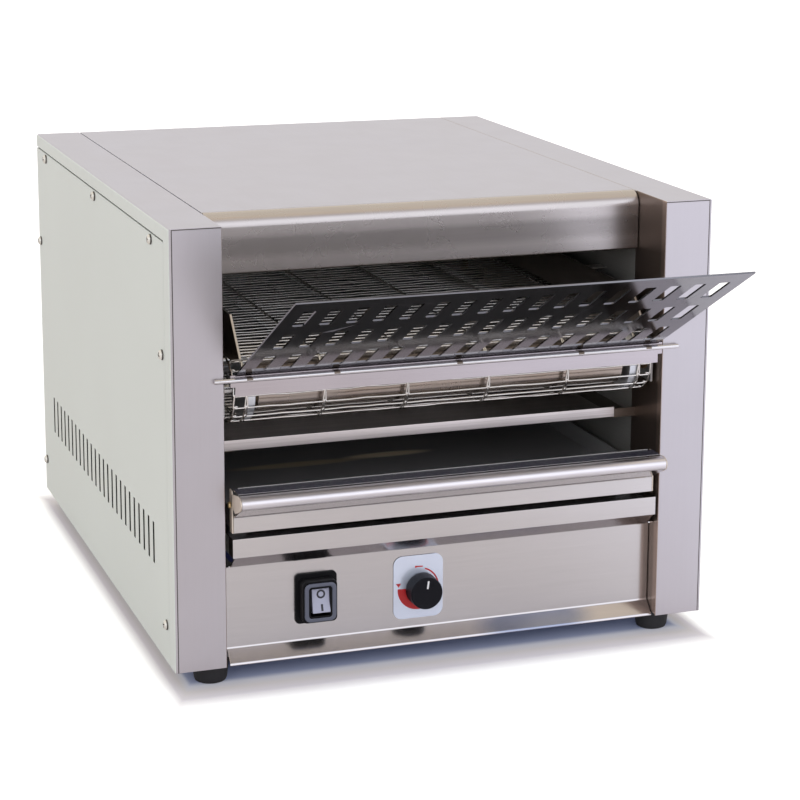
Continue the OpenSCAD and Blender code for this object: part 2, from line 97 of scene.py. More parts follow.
def put(tree, kind, inputs=None, **settings):
    item = tree.nodes.new("ShaderNode" + kind)
    for key, value in settings.items():
        setattr(item, key, value)
    return feed(tree, item, inputs)


def useGroup(tree, group, inputs):
    item = tree.nodes.new("ShaderNodeGroup")
    item.node_tree = group
    return feed(tree, item, inputs).outputs[0]


def work(tree, operation, a, b):
    return put(tree, "Math", {0: a, 1: b}, operation=operation).outputs[0]


def workVector(tree, operation, a, b):
    return put(tree, "VectorMath", {0: a, 1: b}, operation=operation).outputs[0]


def split(tree, vector):
    return put(tree, "SeparateXYZ", {0: vector}).outputs


def remap(tree, value, start=0.0, end=1.0, low=0.0, high=1.0, curve="LINEAR"):
    inputs = {"Value": value, "From Min": start, "From Max": end, "To Min": low, "To Max": high}
    return put(tree, "MapRange", inputs, interpolation_type=curve).outputs[0]


def noise(tree, vector, scale, detail, roughness=0.5, distortion=0.0):
    inputs = {"Vector": vector, "Scale": scale, "Detail": detail, "Roughness": roughness,
              "Distortion": distortion}
    return put(tree, "TexNoise", inputs).outputs["Fac"]


def blend(tree, factor, a, b):
    return put(tree, "Mix", {"Factor": factor, "A": a, "B": b}).outputs[0]


def mixColour(tree, factor, a, b):
    a, b = (c if isinstance(c, bpy.types.NodeSocket) else (*c, 1) for c in (a, b))
    return put(tree, "Mix", {0: factor, 6: a, 7: b}, data_type="RGBA").outputs[2]


def bump(tree, height, depth, under=None):
    # depth is in mm, under an earlier bump's normal
    item = put(tree, "Bump", {"Strength": 1.0, "Distance": depth / 1000, "Height": height})
    return feed(tree, item, {} if under is None else {"Normal": under}).outputs[0]


def colourRamp(tree, factor, stops, scale=1.0):
    item = put(tree, "ValToRGB", {"Fac": factor})
    spots = item.color_ramp.elements
    while len(spots) < len(stops):
        spots.new(1.0)
    for spot, (at, colour) in zip(spots, stops):
        spot.position = at
        spot.color = (*(c / scale for c in colour), 1)
    return item.outputs[0]


def startGroup(name, inputs, output):
    group = bpy.data.node_groups.new(name, "ShaderNodeTree")
    for label, kind, value in inputs:
        socket = group.interface.new_socket(name=label, in_out="INPUT", socket_type="NodeSocket" + kind)
        socket.default_value = value
    group.interface.new_socket(name=output, in_out="OUTPUT", socket_type="NodeSocketFloat")
    return group, group.nodes.new("NodeGroupInput").outputs, group.nodes.new("NodeGroupOutput").inputs[0]


grainSet = {"fineness": 1500.0, "detail": 2.0, "broadScale": 0.22, "broadDetail": 3.0, "broadPart": 0.4}


def makeGrainGroup():
    # Fine rolled or brushed lines; Along squeezes the pattern in each direction
    inputs = (("Vector", "Vector", (0, 0, 0)), ("Along", "Vector", (1, 1, 1)),
              ("Fineness", "Float", grainSet["fineness"]))
    group, given, result = startGroup("brushedGrain", inputs, "Lines")
    squeezed = workVector(group, "MULTIPLY", given["Vector"], given["Along"])
    fine = noise(group, squeezed, given["Fineness"], grainSet["detail"])
    broadScale = work(group, "MULTIPLY", given["Fineness"], grainSet["broadScale"])
    broad = noise(group, squeezed, broadScale, grainSet["broadDetail"])
    group.links.new(blend(group, grainSet["broadPart"], fine, broad), result)
    return group


cloudSet = {"size": 0.1, "spread": 0.25, "detail": 3.0, "roughness": 0.55, "distortion": 0.4}


def makeCloudGroup():
    # Soft patches, for uneven tone and faint wipe marks; a small Spread gives them firm edges
    inputs = (("Vector", "Vector", (0, 0, 0)), ("Size", "Float", cloudSet["size"]),
              ("Spread", "Float", cloudSet["spread"]))
    group, given, result = startGroup("softPatches", inputs, "Mask")
    scale = work(group, "DIVIDE", 1.0, given["Size"])
    cloud = noise(group, given["Vector"], scale, *(cloudSet[k] for k in ("detail", "roughness", "distortion")))
    low, high = (work(group, operation, 0.5, given["Spread"]) for operation in ("SUBTRACT", "ADD"))
    group.links.new(remap(group, cloud, low, high), result)
    return group


dustSet = {"amount": 0.2, "upward": (0.2, 1.0), "speckScale": 420.0, "speckDetail": 4.0, "speck": (0.45, 0.7),
           "tone": (0.5, 0.49, 0.47)}


def makeDustGroup():
    # A thin film on what faces up, broken by small specks
    inputs = (("Vector", "Vector", (0, 0, 0)), ("Amount", "Float", dustSet["amount"]))
    group, given, result = startGroup("dustFilm", inputs, "Mask")
    facing = remap(group, split(group, put(group, "NewGeometry").outputs["Normal"])["Z"], *dustSet["upward"])
    specks = noise(group, given["Vector"], dustSet["speckScale"], dustSet["speckDetail"])
    both = work(group, "MULTIPLY", facing, remap(group, specks, *dustSet["speck"]))
    group.links.new(work(group, "MULTIPLY", both, given["Amount"]), result)
    return group


brushedGrain = makeGrainGroup()
softPatches = makeCloudGroup()
dustFilm = makeDustGroup()
materials = {}


def clearTree(data):
    data.use_nodes = True
    data.node_tree.nodes.clear()
    return data.node_tree


def newMaterial(name, plain):
    # plain gives the shader's fixed values
    materials[name] = bpy.data.materials.new(name)
    tree = clearTree(materials[name])
    shader = put(tree, "BsdfPrincipled", plain)
    put(tree, "OutputMaterial", {"Surface": shader.outputs[0]})
    return tree, shader, put(tree, "TexCoord").outputs["Object"]


def paintedLightBands(tree, coord, tone, paintedBands):
    # paintedBands are an axis, its start and end in mm, and stops of position and strength: painted shade and
    # light
    axis, start, end, stops = paintedBands
    base = {"Y": shell["frontY"], "Z": shell["footH"]}[axis]
    part = remap(tree, split(tree, coord)[axis], start / 1000 + base, end / 1000 + base)
    ramp = colourRamp(tree, part, [(at, (k, k, k)) for at, k in stops])
    return put(tree, "Mix", {0: 1.0, 6: tone, 7: ramp}, data_type="RGBA", blend_type="MULTIPLY").outputs[2]


def paintedReflectionSpot(tree, coord, centre, size):
    # An ellipsoid in mm for a painted reflection: full to half way out, gone at its skin
    away = workVector(tree, "SUBTRACT", coord, toRow(*centre))
    scaled = workVector(tree, "DIVIDE", away, [c / 1000 for c in size])
    far = put(tree, "VectorMath", {0: scaled}, operation="LENGTH").outputs["Value"]
    return remap(tree, far, 1.0, 0.5, curve="SMOOTHSTEP")


sheetSet = {"patch": (0.12, 0.22), "mark": (0.035, 0.12), "lines": (0.3, 0.7), "waveDetail": 1.0}


def sheetMetal(name, light, dark, rough, along, metallic=1.0, fineness=1500.0, streak=0.06, grain=0.006,
               wave=0.15, waveScale=9.0, paintedBands=None, spots=(), spotMetallic=0.0):
    # light and dark are the two tones and rough the range of roughness, along the grain's squeeze,
    # streak how far its lines change the tone, grain and wave the heights of lines and waves in mm
    # paintedBands darken and lighten the tone along one axis as painted shade and light; spots are painted
    # reflections
    tree, shader, coord = newMaterial(name, {"Metallic": metallic})
    lines = useGroup(tree, brushedGrain, {"Vector": coord, "Along": along, "Fineness": fineness})
    patches, marks = (useGroup(tree, softPatches, {"Vector": coord, "Size": size, "Spread": spread})
                      for size, spread in (sheetSet["patch"], sheetSet["mark"]))
    tone = mixColour(tree, patches, dark, light)
    if paintedBands:
        tone = paintedLightBands(tree, coord, tone, paintedBands)
    for centre, size, colour in spots:
        near = paintedReflectionSpot(tree, coord, centre, size)
        tone = mixColour(tree, near, tone, colour)
        feed(tree, shader, {"Metallic": remap(tree, near, low=metallic, high=spotMetallic)})
    streaks = remap(tree, lines, *sheetSet["lines"], 1 - streak, 1 + streak)
    streaked = put(tree, "VectorMath", {0: tone, "Scale": streaks}, operation="SCALE").outputs[0]
    waves = bump(tree, noise(tree, coord, waveScale, sheetSet["waveDetail"]), wave)
    uneven = blend(tree, 0.5, patches, marks)
    feed(tree, shader, {"Base Color": streaked, "Normal": bump(tree, lines, grain, waves),
                        "Roughness": remap(tree, uneven, low=rough[0], high=rough[1])})


across, upright, inward, even = (0.02, 1, 1), (1, 1, 0.02), (1, 0.02, 1), (1, 1, 1)

sheetMetal("satinSteelAcross", (0.64, 0.615, 0.61), (0.615, 0.59, 0.59), (0.15, 0.2), across, streak=0.03,
           wave=0.1)
# The lip's steel carries a painted reflection: a dark bluish patch right of its middle
sheetMetal("lipSteelPaintedReflection", (0.66, 0.63, 0.64), (0.63, 0.6, 0.61), (0.15, 0.2), across, streak=0.03, wave=0.1,
           spots=(((84, 12, 3), (64, 20, 20), (0.33, 0.36, 0.47)),), spotMetallic=1.0)
# Painted reflection on the pillars: lighter near the bottom, darkest at mid height
sheetMetal("satinSteelUpright", (0.63, 0.6, 0.63), (0.605, 0.575, 0.6), (0.32, 0.38), upright, streak=0.012,
           wave=0.12, paintedBands=("Z", 0, 368, ((0.0, 0.96), (0.16, 0.9), (0.5, 0.83), (1.0, 0.86))))
sheetMetal("satinSteelTop", (0.63, 0.625, 0.69), (0.61, 0.605, 0.67), (0.36, 0.42), inward, streak=0.012,
           wave=0.05)
# Painted reflection on the hood: dark and light bands across its face, full tone only towards its top curve
sheetMetal("hoodSteel", (0.62, 0.575, 0.56), (0.59, 0.55, 0.535), (0.25, 0.3), across, streak=0.03,
           wave=0.12, waveScale=4.0,
           paintedBands=("Z", 317, 367, ((0.0, 0.56), (0.22, 0.72), (0.36, 0.56), (0.56, 0.56), (0.66, 0.82),
                                  (0.84, 0.9), (0.92, 1.0))))
# The pillars' inner return: a darker copy of their steel as painted shade, with painted light along its front
# edge
sheetMetal("returnSteelPaintedShade", (0.27, 0.205, 0.17), (0.24, 0.18, 0.15), (0.3, 0.4), upright, metallic=0.92,
           streak=0.02, paintedBands=("Y", 0, 60, ((0.0, 1.8), (0.1, 1.6), (0.15, 1.0), (1.0, 0.9))))
# A beige, less metallic copy of the steel for the ends of the deck and the tray front: painted light
sheetMetal("endSteelPaintedLight", (0.74, 0.65, 0.55), (0.67, 0.585, 0.49), (0.4, 0.5), upright, metallic=0.35,
           streak=0.03)
sheetMetal("stripSteel", (0.52, 0.475, 0.495), (0.48, 0.44, 0.46), (0.2, 0.26), across, streak=0.03, wave=0.08)
# A lighter copy of the steel for the tray grip's nose: painted highlight
sheetMetal("handleSteelPaintedHighlight", (0.76, 0.73, 0.75), (0.72, 0.69, 0.71), (0.3, 0.36), across, streak=0.04, wave=0.05)
# Painted light on the chute: lighter at its lower edge, darkest at mid height
sheetMetal("chuteSteel", (0.27, 0.265, 0.285), (0.25, 0.245, 0.265), (0.1, 0.13), across, streak=0.03,
           wave=0.05, paintedBands=("Z", 245, 345, ((0.0, 1.0), (0.2, 0.75), (0.35, 0.7), (1.0, 0.85))))
sheetMetal("shieldSteel", (0.68, 0.63, 0.62), (0.62, 0.57, 0.55), (0.28, 0.36), (0.006, 1, 1), fineness=800.0,
           streak=0.16, grain=0.03)
sheetMetal("rodSteel", (0.72, 0.7, 0.71), (0.62, 0.6, 0.6), (0.18, 0.26), across)
sheetMetal("wireSteel", (0.78, 0.75, 0.72), (0.6, 0.57, 0.53), (0.16, 0.28), even, fineness=900.0)
sheetMetal("ovenSteel", (0.48, 0.465, 0.43), (0.38, 0.365, 0.335), (0.3, 0.4), inward, metallic=0.55)
# Two warm streaks on the tray's floor are painted reflections, not metallic so they show in the dark
sheetMetal("traySteelPaintedReflection", (0.5, 0.49, 0.48), (0.44, 0.43, 0.42), (0.14, 0.2), across, metallic=0.45, streak=0.02,
           spots=(((-80, 172, 115.4), (75, 10, 12), (1.0, 0.84, 0.6)),
                  ((5, 178, 115.4), (50, 10, 12), (1.0, 0.84, 0.6))))
# A dark copy of the steel: painted shade on the guides and shield supports, the weld marks' dark on the chute
# bar
sheetMetal("shadeAndWeldSteel", (0.24, 0.2, 0.17), (0.15, 0.12, 0.095), (0.3, 0.42), inward)
sheetMetal("guideEdgePaintedHighlight", (0.62, 0.59, 0.55), (0.5, 0.47, 0.44), (0.25, 0.35), inward)
sheetMetal("seamShade", (0.16, 0.145, 0.135), (0.1, 0.09, 0.085), (0.4, 0.55), upright)
sheetMetal("rollerSteel", (0.5, 0.44, 0.4), (0.4, 0.33, 0.28), (0.2, 0.3), across)
sheetMetal("plainZinc", (0.56, 0.57, 0.58), (0.44, 0.45, 0.46), (0.35, 0.5), even, fineness=300.0)
sheetMetal("brightSteel", (0.68, 0.67, 0.66), (0.58, 0.57, 0.56), (0.2, 0.3), across)
sheetMetal("creamSteel", (0.88, 0.86, 0.79), (0.8, 0.78, 0.7), (0.3, 0.4), even, metallic=0.35)
sheetMetal("wheelSteel", (0.7, 0.72, 0.76), (0.6, 0.62, 0.66), (0.35, 0.45), even)
sheetMetal("brassScrew", (0.72, 0.56, 0.3), (0.55, 0.4, 0.2), (0.2, 0.32), even)
sheetMetal("sinteredBronze", (0.5, 0.34, 0.2), (0.36, 0.23, 0.13), (0.4, 0.55), even, fineness=2600.0)
sheetMetal("oiledIron", (0.2, 0.2, 0.21), (0.1, 0.1, 0.105), (0.3, 0.45), even, fineness=700.0)


def coated(name, light, dark, rough, peel, peelScale=900.0, patch=0.15, dust=0.1, metallic=0.0,
           specular=0.5, gloss=0.0):
    # peel is the height of the coat's texture in mm, dust the film's strength, gloss that of a clear coat
    plain = {"Metallic": metallic, "Specular IOR Level": specular, "Coat Weight": gloss}
    tree, shader, coord = newMaterial(name, plain)
    patches = useGroup(tree, softPatches, {"Vector": coord, "Size": patch, "Spread": cloudSet["spread"]})
    tone = mixColour(tree, patches, dark, light)
    film = useGroup(tree, dustFilm, {"Vector": coord, "Amount": dust})
    feed(tree, shader, {"Base Color": mixColour(tree, film, tone, dustSet["tone"]),
                        "Roughness": remap(tree, patches, low=rough[0], high=rough[1]),
                        "Normal": bump(tree, noise(tree, coord, peelScale, 3.0), peel)})


coated("panelCoat", (0.755, 0.81, 0.765), (0.73, 0.785, 0.74), (0.4, 0.5), 0.006, dust=0.05)
coated("footRubber", (0.018, 0.018, 0.02), (0.01, 0.01, 0.012), (0.5, 0.7), 0.03)
coated("knobPlastic", (0.009, 0.009, 0.012), (0.006, 0.006, 0.009), (0.4, 0.5), 0.015, dust=0.02,
       specular=0.12)
coated("switchPlastic", (0.008, 0.008, 0.009), (0.005, 0.005, 0.006), (0.4, 0.5), 0.012, dust=0.02,
       specular=0.1)
coated("slotShade", (0.01, 0.01, 0.01), (0.006, 0.006, 0.006), (0.7, 0.85), 0.02, dust=0.02, specular=0.1)
coated("splashFrame", (0.105, 0.115, 0.16), (0.085, 0.095, 0.13), (0.25, 0.35), 0.006, gloss=0.3)
coated("rockerPlastic", (0.41, 0.42, 0.53), (0.37, 0.385, 0.49), (0.2, 0.3), 0.004, gloss=0.3)
coated("dialFace", (0.78, 0.84, 0.97), (0.74, 0.8, 0.93), (0.22, 0.28), 0.003, patch=0.03, metallic=0.6)
coated("redPrint", (0.56, 0.02, 0.022), (0.47, 0.014, 0.016), (0.35, 0.45), 0.003)
# Dark blue for the tray flange's top: painted reflection of the dark inside
coated("flangePaintedReflection", (0.04, 0.04, 0.06), (0.028, 0.028, 0.044), (0.35, 0.5), 0.01, specular=0.2)
coated("whiteInk", (0.85, 0.85, 0.85), (0.78, 0.78, 0.78), (0.4, 0.5), 0.003)
coated("blackInk", (0.02, 0.02, 0.03), (0.012, 0.012, 0.02), (0.35, 0.5), 0.003)
coated("ceramic", (0.72, 0.69, 0.62), (0.62, 0.58, 0.5), (0.6, 0.75), 0.03, peelScale=500.0)
coated("motorPaint", (0.06, 0.065, 0.07), (0.04, 0.043, 0.046), (0.45, 0.6), 0.03, peelScale=500.0)
print("toaster:", len(materials), "materials made")


# Mesh helpers. Pieces are drawn in millimetres and placed when they are finished.

pole = 0.001        # radius of a turned outline's end at its pole, which the merge closes
weld = 1e-4         # points nearer than this are one


def shift(bm, vec, verts=None):
    bmesh.ops.translate(bm, vec=vec, verts=bm.verts if verts is None else verts)


def turn(bm, matrix, verts=None):
    bmesh.ops.rotate(bm, cent=(0, 0, 0), matrix=matrix, verts=bm.verts if verts is None else verts)


def turnBy(degrees, axis):
    return Matrix.Rotation(math.radians(degrees), 3, axis)


def scaleAll(bm, factor):
    bmesh.ops.scale(bm, vec=(factor, factor, factor), verts=bm.verts)


def drawOut(bm, drawn, vec):
    # Moves the points that an extrude has just made
    shift(bm, vec, [v for v in drawn["geom"] if isinstance(v, bmesh.types.BMVert)])


def edgesAt(bm, x=None, y=None, z=None, off=0.05):
    # Edges with both ends at the places given, within off
    wanted = [(i, place) for i, place in enumerate((x, y, z)) if place is not None]
    return [e for e in bm.edges if all(abs(v.co[i] - place) < off for v in e.verts for i, place in wanted)]


def roundEdges(bm, edges, radius, segments):
    bmesh.ops.bevel(bm, geom=edges, offset=radius, segments=segments, profile=0.5, affect="EDGES", material=-1)


def cutAt(bm, spot, facing):
    bmesh.ops.bisect_plane(bm, geom=bm.verts[:] + bm.edges[:] + bm.faces[:], plane_co=spot, plane_no=facing)


def fixNormals(bm):
    bmesh.ops.recalc_face_normals(bm, faces=bm.faces)


def toMesh(name, bm):
    mesh = bpy.data.meshes.new(name)
    bm.to_mesh(mesh)
    bm.free()
    return mesh


def joinInto(target, source):
    mesh = toMesh("part", source)
    target.from_mesh(mesh)
    bpy.data.meshes.remove(mesh)


def appliedMesh(obj):
    # The object's mesh with its modifiers or its curve's thickness in it
    bpy.context.view_layer.update()
    return bpy.data.meshes.new_from_object(obj.evaluated_get(bpy.context.evaluated_depsgraph_get()))


def finishPiece(name, bm, material, body="cabinet", replaces=(), bevel=0.0, sheet=0.0, placed=False,
                extra=(), smooth=True):
    # sheet is the thickness an open surface gets, extra the further materials for paintFaces
    if not placed:
        scaleAll(bm, 0.001)
        shift(bm, (0, shell["frontY"], shell["footH"]))
    obj = linkObject(name, toMesh(name, bm))
    for label in (material, *extra):
        obj.data.materials.append(materials[label])
    if smooth:
        obj.data.shade_smooth()
    if sheet:
        solid = obj.modifiers.new("thickness", "SOLIDIFY")
        solid.thickness = sheet / 1000
        solid.offset = -1
        solid.use_even_offset = True
    if bevel:
        edge = obj.modifiers.new("edges", "BEVEL")
        edge.width = bevel / 1000
        edge.segments = 2
        edge.limit_method = "ANGLE"
        edge.angle_limit = math.radians(40)
    if smooth:
        obj.modifiers.new("normals", "WEIGHTED_NORMAL").keep_sharp = True
    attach(obj, body)
    if replaces:
        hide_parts(*replaces)
    return obj


def paintFaces(obj, rule):
    # rule takes a face's normal and its middle in mm and gives the material slot
    for face in obj.data.polygons:
        x, y, z = face.center
        spot = (x * 1000, (y - shell["frontY"]) * 1000, (z - shell["footH"]) * 1000)
        face.material_index = rule(face.normal, *spot)


def copySolid(node):
    bm = bmesh.new()
    bm.from_mesh(cadNodes[node].data)
    bmesh.ops.remove_doubles(bm, verts=bm.verts, dist=1e-6)
    bmesh.ops.dissolve_limit(bm, angle_limit=math.radians(0.5), verts=bm.verts, edges=bm.edges)
    return bm


def inMillimetres(node):
    bm = copySolid(node)
    scaleAll(bm, 1000)
    shift(bm, (0, -shell["frontY"] * 1000, -shell["footH"] * 1000))
    return bm


def easedSolid(node, material, body="cabinet", bevel=0.25, extra=()):
    return finishPiece(node + "_eased", copySolid(node), material, body, (node,), bevel, placed=True,
                       extra=extra)


def traceOutline(bm, start, moves):
    # moves are ("to", y, z) or ("turn", y, z, degrees, steps) round a centre; positive turns lift +Y to +Z
    tip = bm.verts.new((0, *start))
    for kind, y, z, *arc in moves:
        if kind == "to":
            new = bm.verts.new((0, y, z))
            bm.edges.new((tip, new))
            tip = new
        else:
            out = bmesh.ops.spin(bm, geom=[tip], cent=(0, y, z), axis=(1, 0, 0), dvec=(0, 0, 0),
                                 angle=math.radians(arc[0]), steps=arc[1])
            tip = out["geom_last"][0]
    bmesh.ops.remove_doubles(bm, verts=bm.verts, dist=weld)


def sweepAcross(bm, x0, x1):
    shift(bm, (x0, 0, 0))
    drawOut(bm, bmesh.ops.extrude_edge_only(bm, edges=bm.edges[:]), (x1 - x0, 0, 0))


def faceForward(bm, size):
    # Turns an open sheet so that its face of the greatest size, as given, looks to the front
    fixNormals(bm)
    if max(bm.faces, key=size).normal.y > 0:
        bmesh.ops.reverse_faces(bm, faces=bm.faces)


def addPrism(bm, x0, x1, outline):
    # outline is a list of (y, z), drawn out from x0 to x1
    part = bmesh.new()
    face = part.faces.new([part.verts.new((x0, y, z)) for y, z in outline])
    drawOut(part, bmesh.ops.extrude_face_region(part, geom=[face]), (x1 - x0, 0, 0))
    fixNormals(part)
    joinInto(bm, part)


def addBar(bm, x0, x1, y, z, radius, sides=24):
    # A round bar along x
    along = Vector((1, 0, 0)).to_track_quat("Z", "Y").to_matrix().to_4x4()
    bmesh.ops.create_cone(bm, cap_ends=True, segments=sides, radius1=radius, radius2=radius, depth=x1 - x0,
                          matrix=Matrix.Translation(((x0 + x1) / 2, y, z)) @ along)


def addBox(bm, low, high):
    size = [h - l for l, h in zip(low, high)]
    middle = [(h + l) / 2 for l, h in zip(low, high)]
    bmesh.ops.create_cube(bm, size=1, matrix=Matrix.Translation(middle) @ Matrix.Diagonal((*size, 1)))


def revolve(points, steps):
    # points are (radius, height) from one pole or rim to the other, turned round +Z
    bm = bmesh.new()
    verts = [bm.verts.new((r, 0, h)) for r, h in points]
    edges = [bm.edges.new(pair) for pair in zip(verts, verts[1:])]
    bmesh.ops.spin(bm, geom=verts + edges, cent=(0, 0, 0), axis=(0, 0, 1), dvec=(0, 0, 0),
                   angle=math.tau, steps=steps, use_merge=True)
    bmesh.ops.remove_doubles(bm, verts=bm.verts, dist=3 * pole)
    fixNormals(bm)
    return bm


# Casing

# The seam is the dark line near the pillar's outer and upper edges, returnDepth where the inner face is cut.
# The values from seamY on are the limits by which its faces are told apart for their coats.
frameEdges = {"outer": 2.0, "inner": 0.9, "seamBelow": 0.5, "seamIn": 2.2, "seamWidth": 0.8, "seamDepth": 0.35,
              "returnDepth": 61.0, "bevel": 0.15, "seamY": (0.2, 0.6), "foldX": (200, 236.5), "sideX": 230,
              "wrapY": 17, "wrapTop": 355, "topZ": 360}


def makeSideFrame(side):
    bm = inMillimetres(side + "_frame")
    top, sign = shell["height"], -1 if side == "left" else 1
    for place, radius, segments in (("halfW", "outer", 4), ("innerX", "inner", 3)):
        x = sign * shell[place]
        roundEdges(bm, edgesAt(bm, x, y=0) + edgesAt(bm, x, z=top), frameEdges[radius], segments)
    seamTop, seamSide = top - frameEdges["seamBelow"], shell["halfW"] - frameEdges["seamIn"]
    lowTop, innerSide = seamTop - frameEdges["seamWidth"], seamSide - frameEdges["seamWidth"]
    for z in (seamTop, lowTop):
        cutAt(bm, (0, 0, z), (0, 0, 1))
    for x in (seamSide, innerSide):
        cutAt(bm, (sign * x, 0, 0), (1, 0, 0))
    cutAt(bm, (0, frameEdges["returnDepth"], 0), (0, 1, 0))

    def inSeam(face):
        c = face.calc_center_median()
        onFront = face.normal.y <= -0.9 and c.y <= 0.5
        return onFront and c.z <= seamTop and abs(c.x) <= seamSide and (c.z > lowTop or abs(c.x) > innerSide)

    seam = [f for f in bm.faces if inSeam(f)]
    drawOut(bm, bmesh.ops.extrude_face_region(bm, geom=seam), (0, frameEdges["seamDepth"], 0))
    bmesh.ops.delete(bm, geom=seam, context="FACES")
    coats = ("satinSteelTop", "panelCoat", "slotShade", "seamShade", "returnSteelPaintedShade")
    obj = finishPiece(side + "_frame_sheet", bm, "satinSteelUpright", replaces=(side + "_frame",),
                      bevel=frameEdges["bevel"], extra=coats)

    # Slot 3 is painted shade on faces seen in the gaps beside the side panel; slot 5 the return's painted
    # shade
    def coat(n, x, y, z):
        outward, wide = n.x * sign, abs(x)
        foldFrom, foldTo = frameEdges["foldX"]
        outerSide = wide > frameEdges["sideX"]
        if n.y < -0.9 and frameEdges["seamY"][0] < y < frameEdges["seamY"][1]:
            return 4
        if foldFrom < wide < foldTo and outward > 0.5:
            return 3
        if outerSide and n.y > 0.5 and y > frameEdges["wrapY"] and z < frameEdges["wrapTop"]:
            return 3
        if n.z > 0.75 and z > frameEdges["topZ"]:
            return 1
        if outward < -0.6 and wide < foldFrom and y < frameEdges["returnDepth"]:
            return 5
        return 2 if outward > 0.6 and outerSide else 0

    paintFaces(obj, coat)


vents = {"y": (60, 520), "z": (68, 112)}


def ventShade(n, x, y, z):
    inside = vents["z"][0] < z < vents["z"][1] and vents["y"][0] < y < vents["y"][1]
    return 1 if abs(n.x) < 0.5 and inside else 0


topFold = {"radius": 1.7, "segments": 5}


def makeTopPanel():
    bm = inMillimetres("top_panel")
    fold = edgesAt(bm, y=min(v.co.y for v in bm.verts), z=shell["height"])
    roundEdges(bm, fold, topFold["radius"], topFold["segments"])
    finishPiece("top_panel_sheet", bm, "satinSteelTop", replaces=("top_panel",), bevel=0.25)


for side in ("left", "right"):
    makeSideFrame(side)
    paintFaces(easedSolid(side + "_side_panel", "panelCoat", extra=("slotShade",)), ventShade)
makeTopPanel()


hood = {"half": 193.2, "radius": 12.0, "y": 54.0, "bottom": 317.8, "lip": 14.0, "bend": 1.6, "hook": 11,
        "gap": 0.6, "ease": 0.7}


def makeHood():
    bm = bmesh.new()
    top, back, low = shell["height"], hood["y"] + hood["radius"], hood["bottom"] + hood["bend"]
    traceOutline(bm, (back + hood["gap"], top - hood["hook"]), [
        ("to", back + hood["gap"], top - hood["ease"]), ("to", back, top),
        ("turn", back, top - hood["radius"], 90, 14), ("to", hood["y"], low),
        ("turn", hood["y"] + hood["bend"], low, 90, 4), ("to", hood["y"] + hood["lip"], hood["bottom"])])
    sweepAcross(bm, -hood["half"], hood["half"])
    faceForward(bm, lambda f: abs(f.normal.y) * f.calc_area())
    finishPiece("front_hood_sheet", bm, "hoodSteel", replaces=("front_hood",), sheet=shell["sheet"], bevel=0.2)


makeHood()


# profile gives the head's outline as parts of its radius and its rise
panScrew = {"head": 4.3, "rise": 3.4, "slot": 1.2, "reach": 2.5, "sink": 1.7, "bevel": 0.06,
            "profile": ((0, 1), (0.35, 0.97), (0.65, 0.86), (0.86, 0.66), (0.97, 0.4), (1, 0.15), (1, 0))}
screwRows = {"sides": ((61, 349.5), (282, 349.5), (512, 349.5), (27, 32), (27, 261), (550, 32), (550, 261)),
             "back": [(x, z) for x in (-222, -74, 74, 222) for z in (12, 354)],
             "backY": 559.8, "backRise": 0.55, "firstTwist": 11, "sideTwist": 37, "backTwist": 41}


def makePanHead():
    r, h, reach, half = panScrew["head"], panScrew["rise"], panScrew["reach"], panScrew["slot"] / 2
    bm = revolve([(max(r * out, pole), h * up) for out, up in panScrew["profile"]], 28)
    bmesh.ops.holes_fill(bm, edges=[e for e in bm.edges if e.is_boundary], sides=0)
    fixNormals(bm)
    driver = bmesh.new()
    for angle in (0, 90):
        blade = bmesh.new()
        addBox(blade, (-reach, -half, h - panScrew["sink"]), (reach, half, h + 1))
        turn(blade, turnBy(angle, "Z"))
        joinInto(driver, blade)
    head, tool = linkObject("head", toMesh("head", bm)), linkObject("driver", toMesh("driver", driver))
    cut = head.modifiers.new("cross", "BOOLEAN")
    cut.object, cut.operation, cut.solver, cut.use_self = tool, "DIFFERENCE", "EXACT", True
    result = appliedMesh(head)
    for obj in (head, tool):
        bpy.data.objects.remove(obj)
    # The cross recess and the low part of the rim take the second slot: painted shade
    for face in result.polygons:
        x, y, z = face.center
        out = math.hypot(x, y)
        inSlot = out < reach and (face.normal.z < 0.5 or z < h - panScrew["sink"] * 0.9)
        face.material_index = 1 if inSlot or out > r * 0.93 and z < h * 0.35 else 0
    return result


panHead = makePanHead()


def makeScrews(name, spots, node, rise=1.0):
    # spots are (point, outward direction, twist in degrees); rise squeezes the head's height
    bm = bmesh.new()
    for point, outward, twist in spots:
        before = set(bm.verts)
        bm.from_mesh(panHead)
        new = [v for v in bm.verts if v not in before]
        bmesh.ops.scale(bm, vec=(1, 1, rise), verts=new)
        turn(bm, turnBy(twist, "Z"), new)
        turn(bm, Vector(outward).to_track_quat("Z", "Y").to_matrix(), new)
        shift(bm, point, new)
    finishPiece(name, bm, "creamSteel", replaces=(node,), bevel=panScrew["bevel"], extra=("seamShade",))


spots = [((sx * shell["halfW"], y, z), (sx, 0, 0), screwRows["sideTwist"] * i + screwRows["firstTwist"])
         for sx in (-1, 1) for i, (y, z) in enumerate(screwRows["sides"])]
makeScrews("side_screw_heads", spots, "side_panel_screws")
spots = [((x, screwRows["backY"], z), (0, 1, 0), screwRows["backTwist"] * i)
         for i, (x, z) in enumerate(screwRows["back"])]
makeScrews("back_screw_heads", spots, "back_panel_screws", screwRows["backRise"])
for node in ("back_panel", "base_pan"):
    easedSolid(node, "plainZinc", bevel=0.2)


foot = {"x": 202.0, "ys": (25.0, 530.0), "low": 13.8, "high": 15.8, "height": 19.0, "round": 2.6, "dish": 0.6,
        "hole": 4, "rim": 0.5}


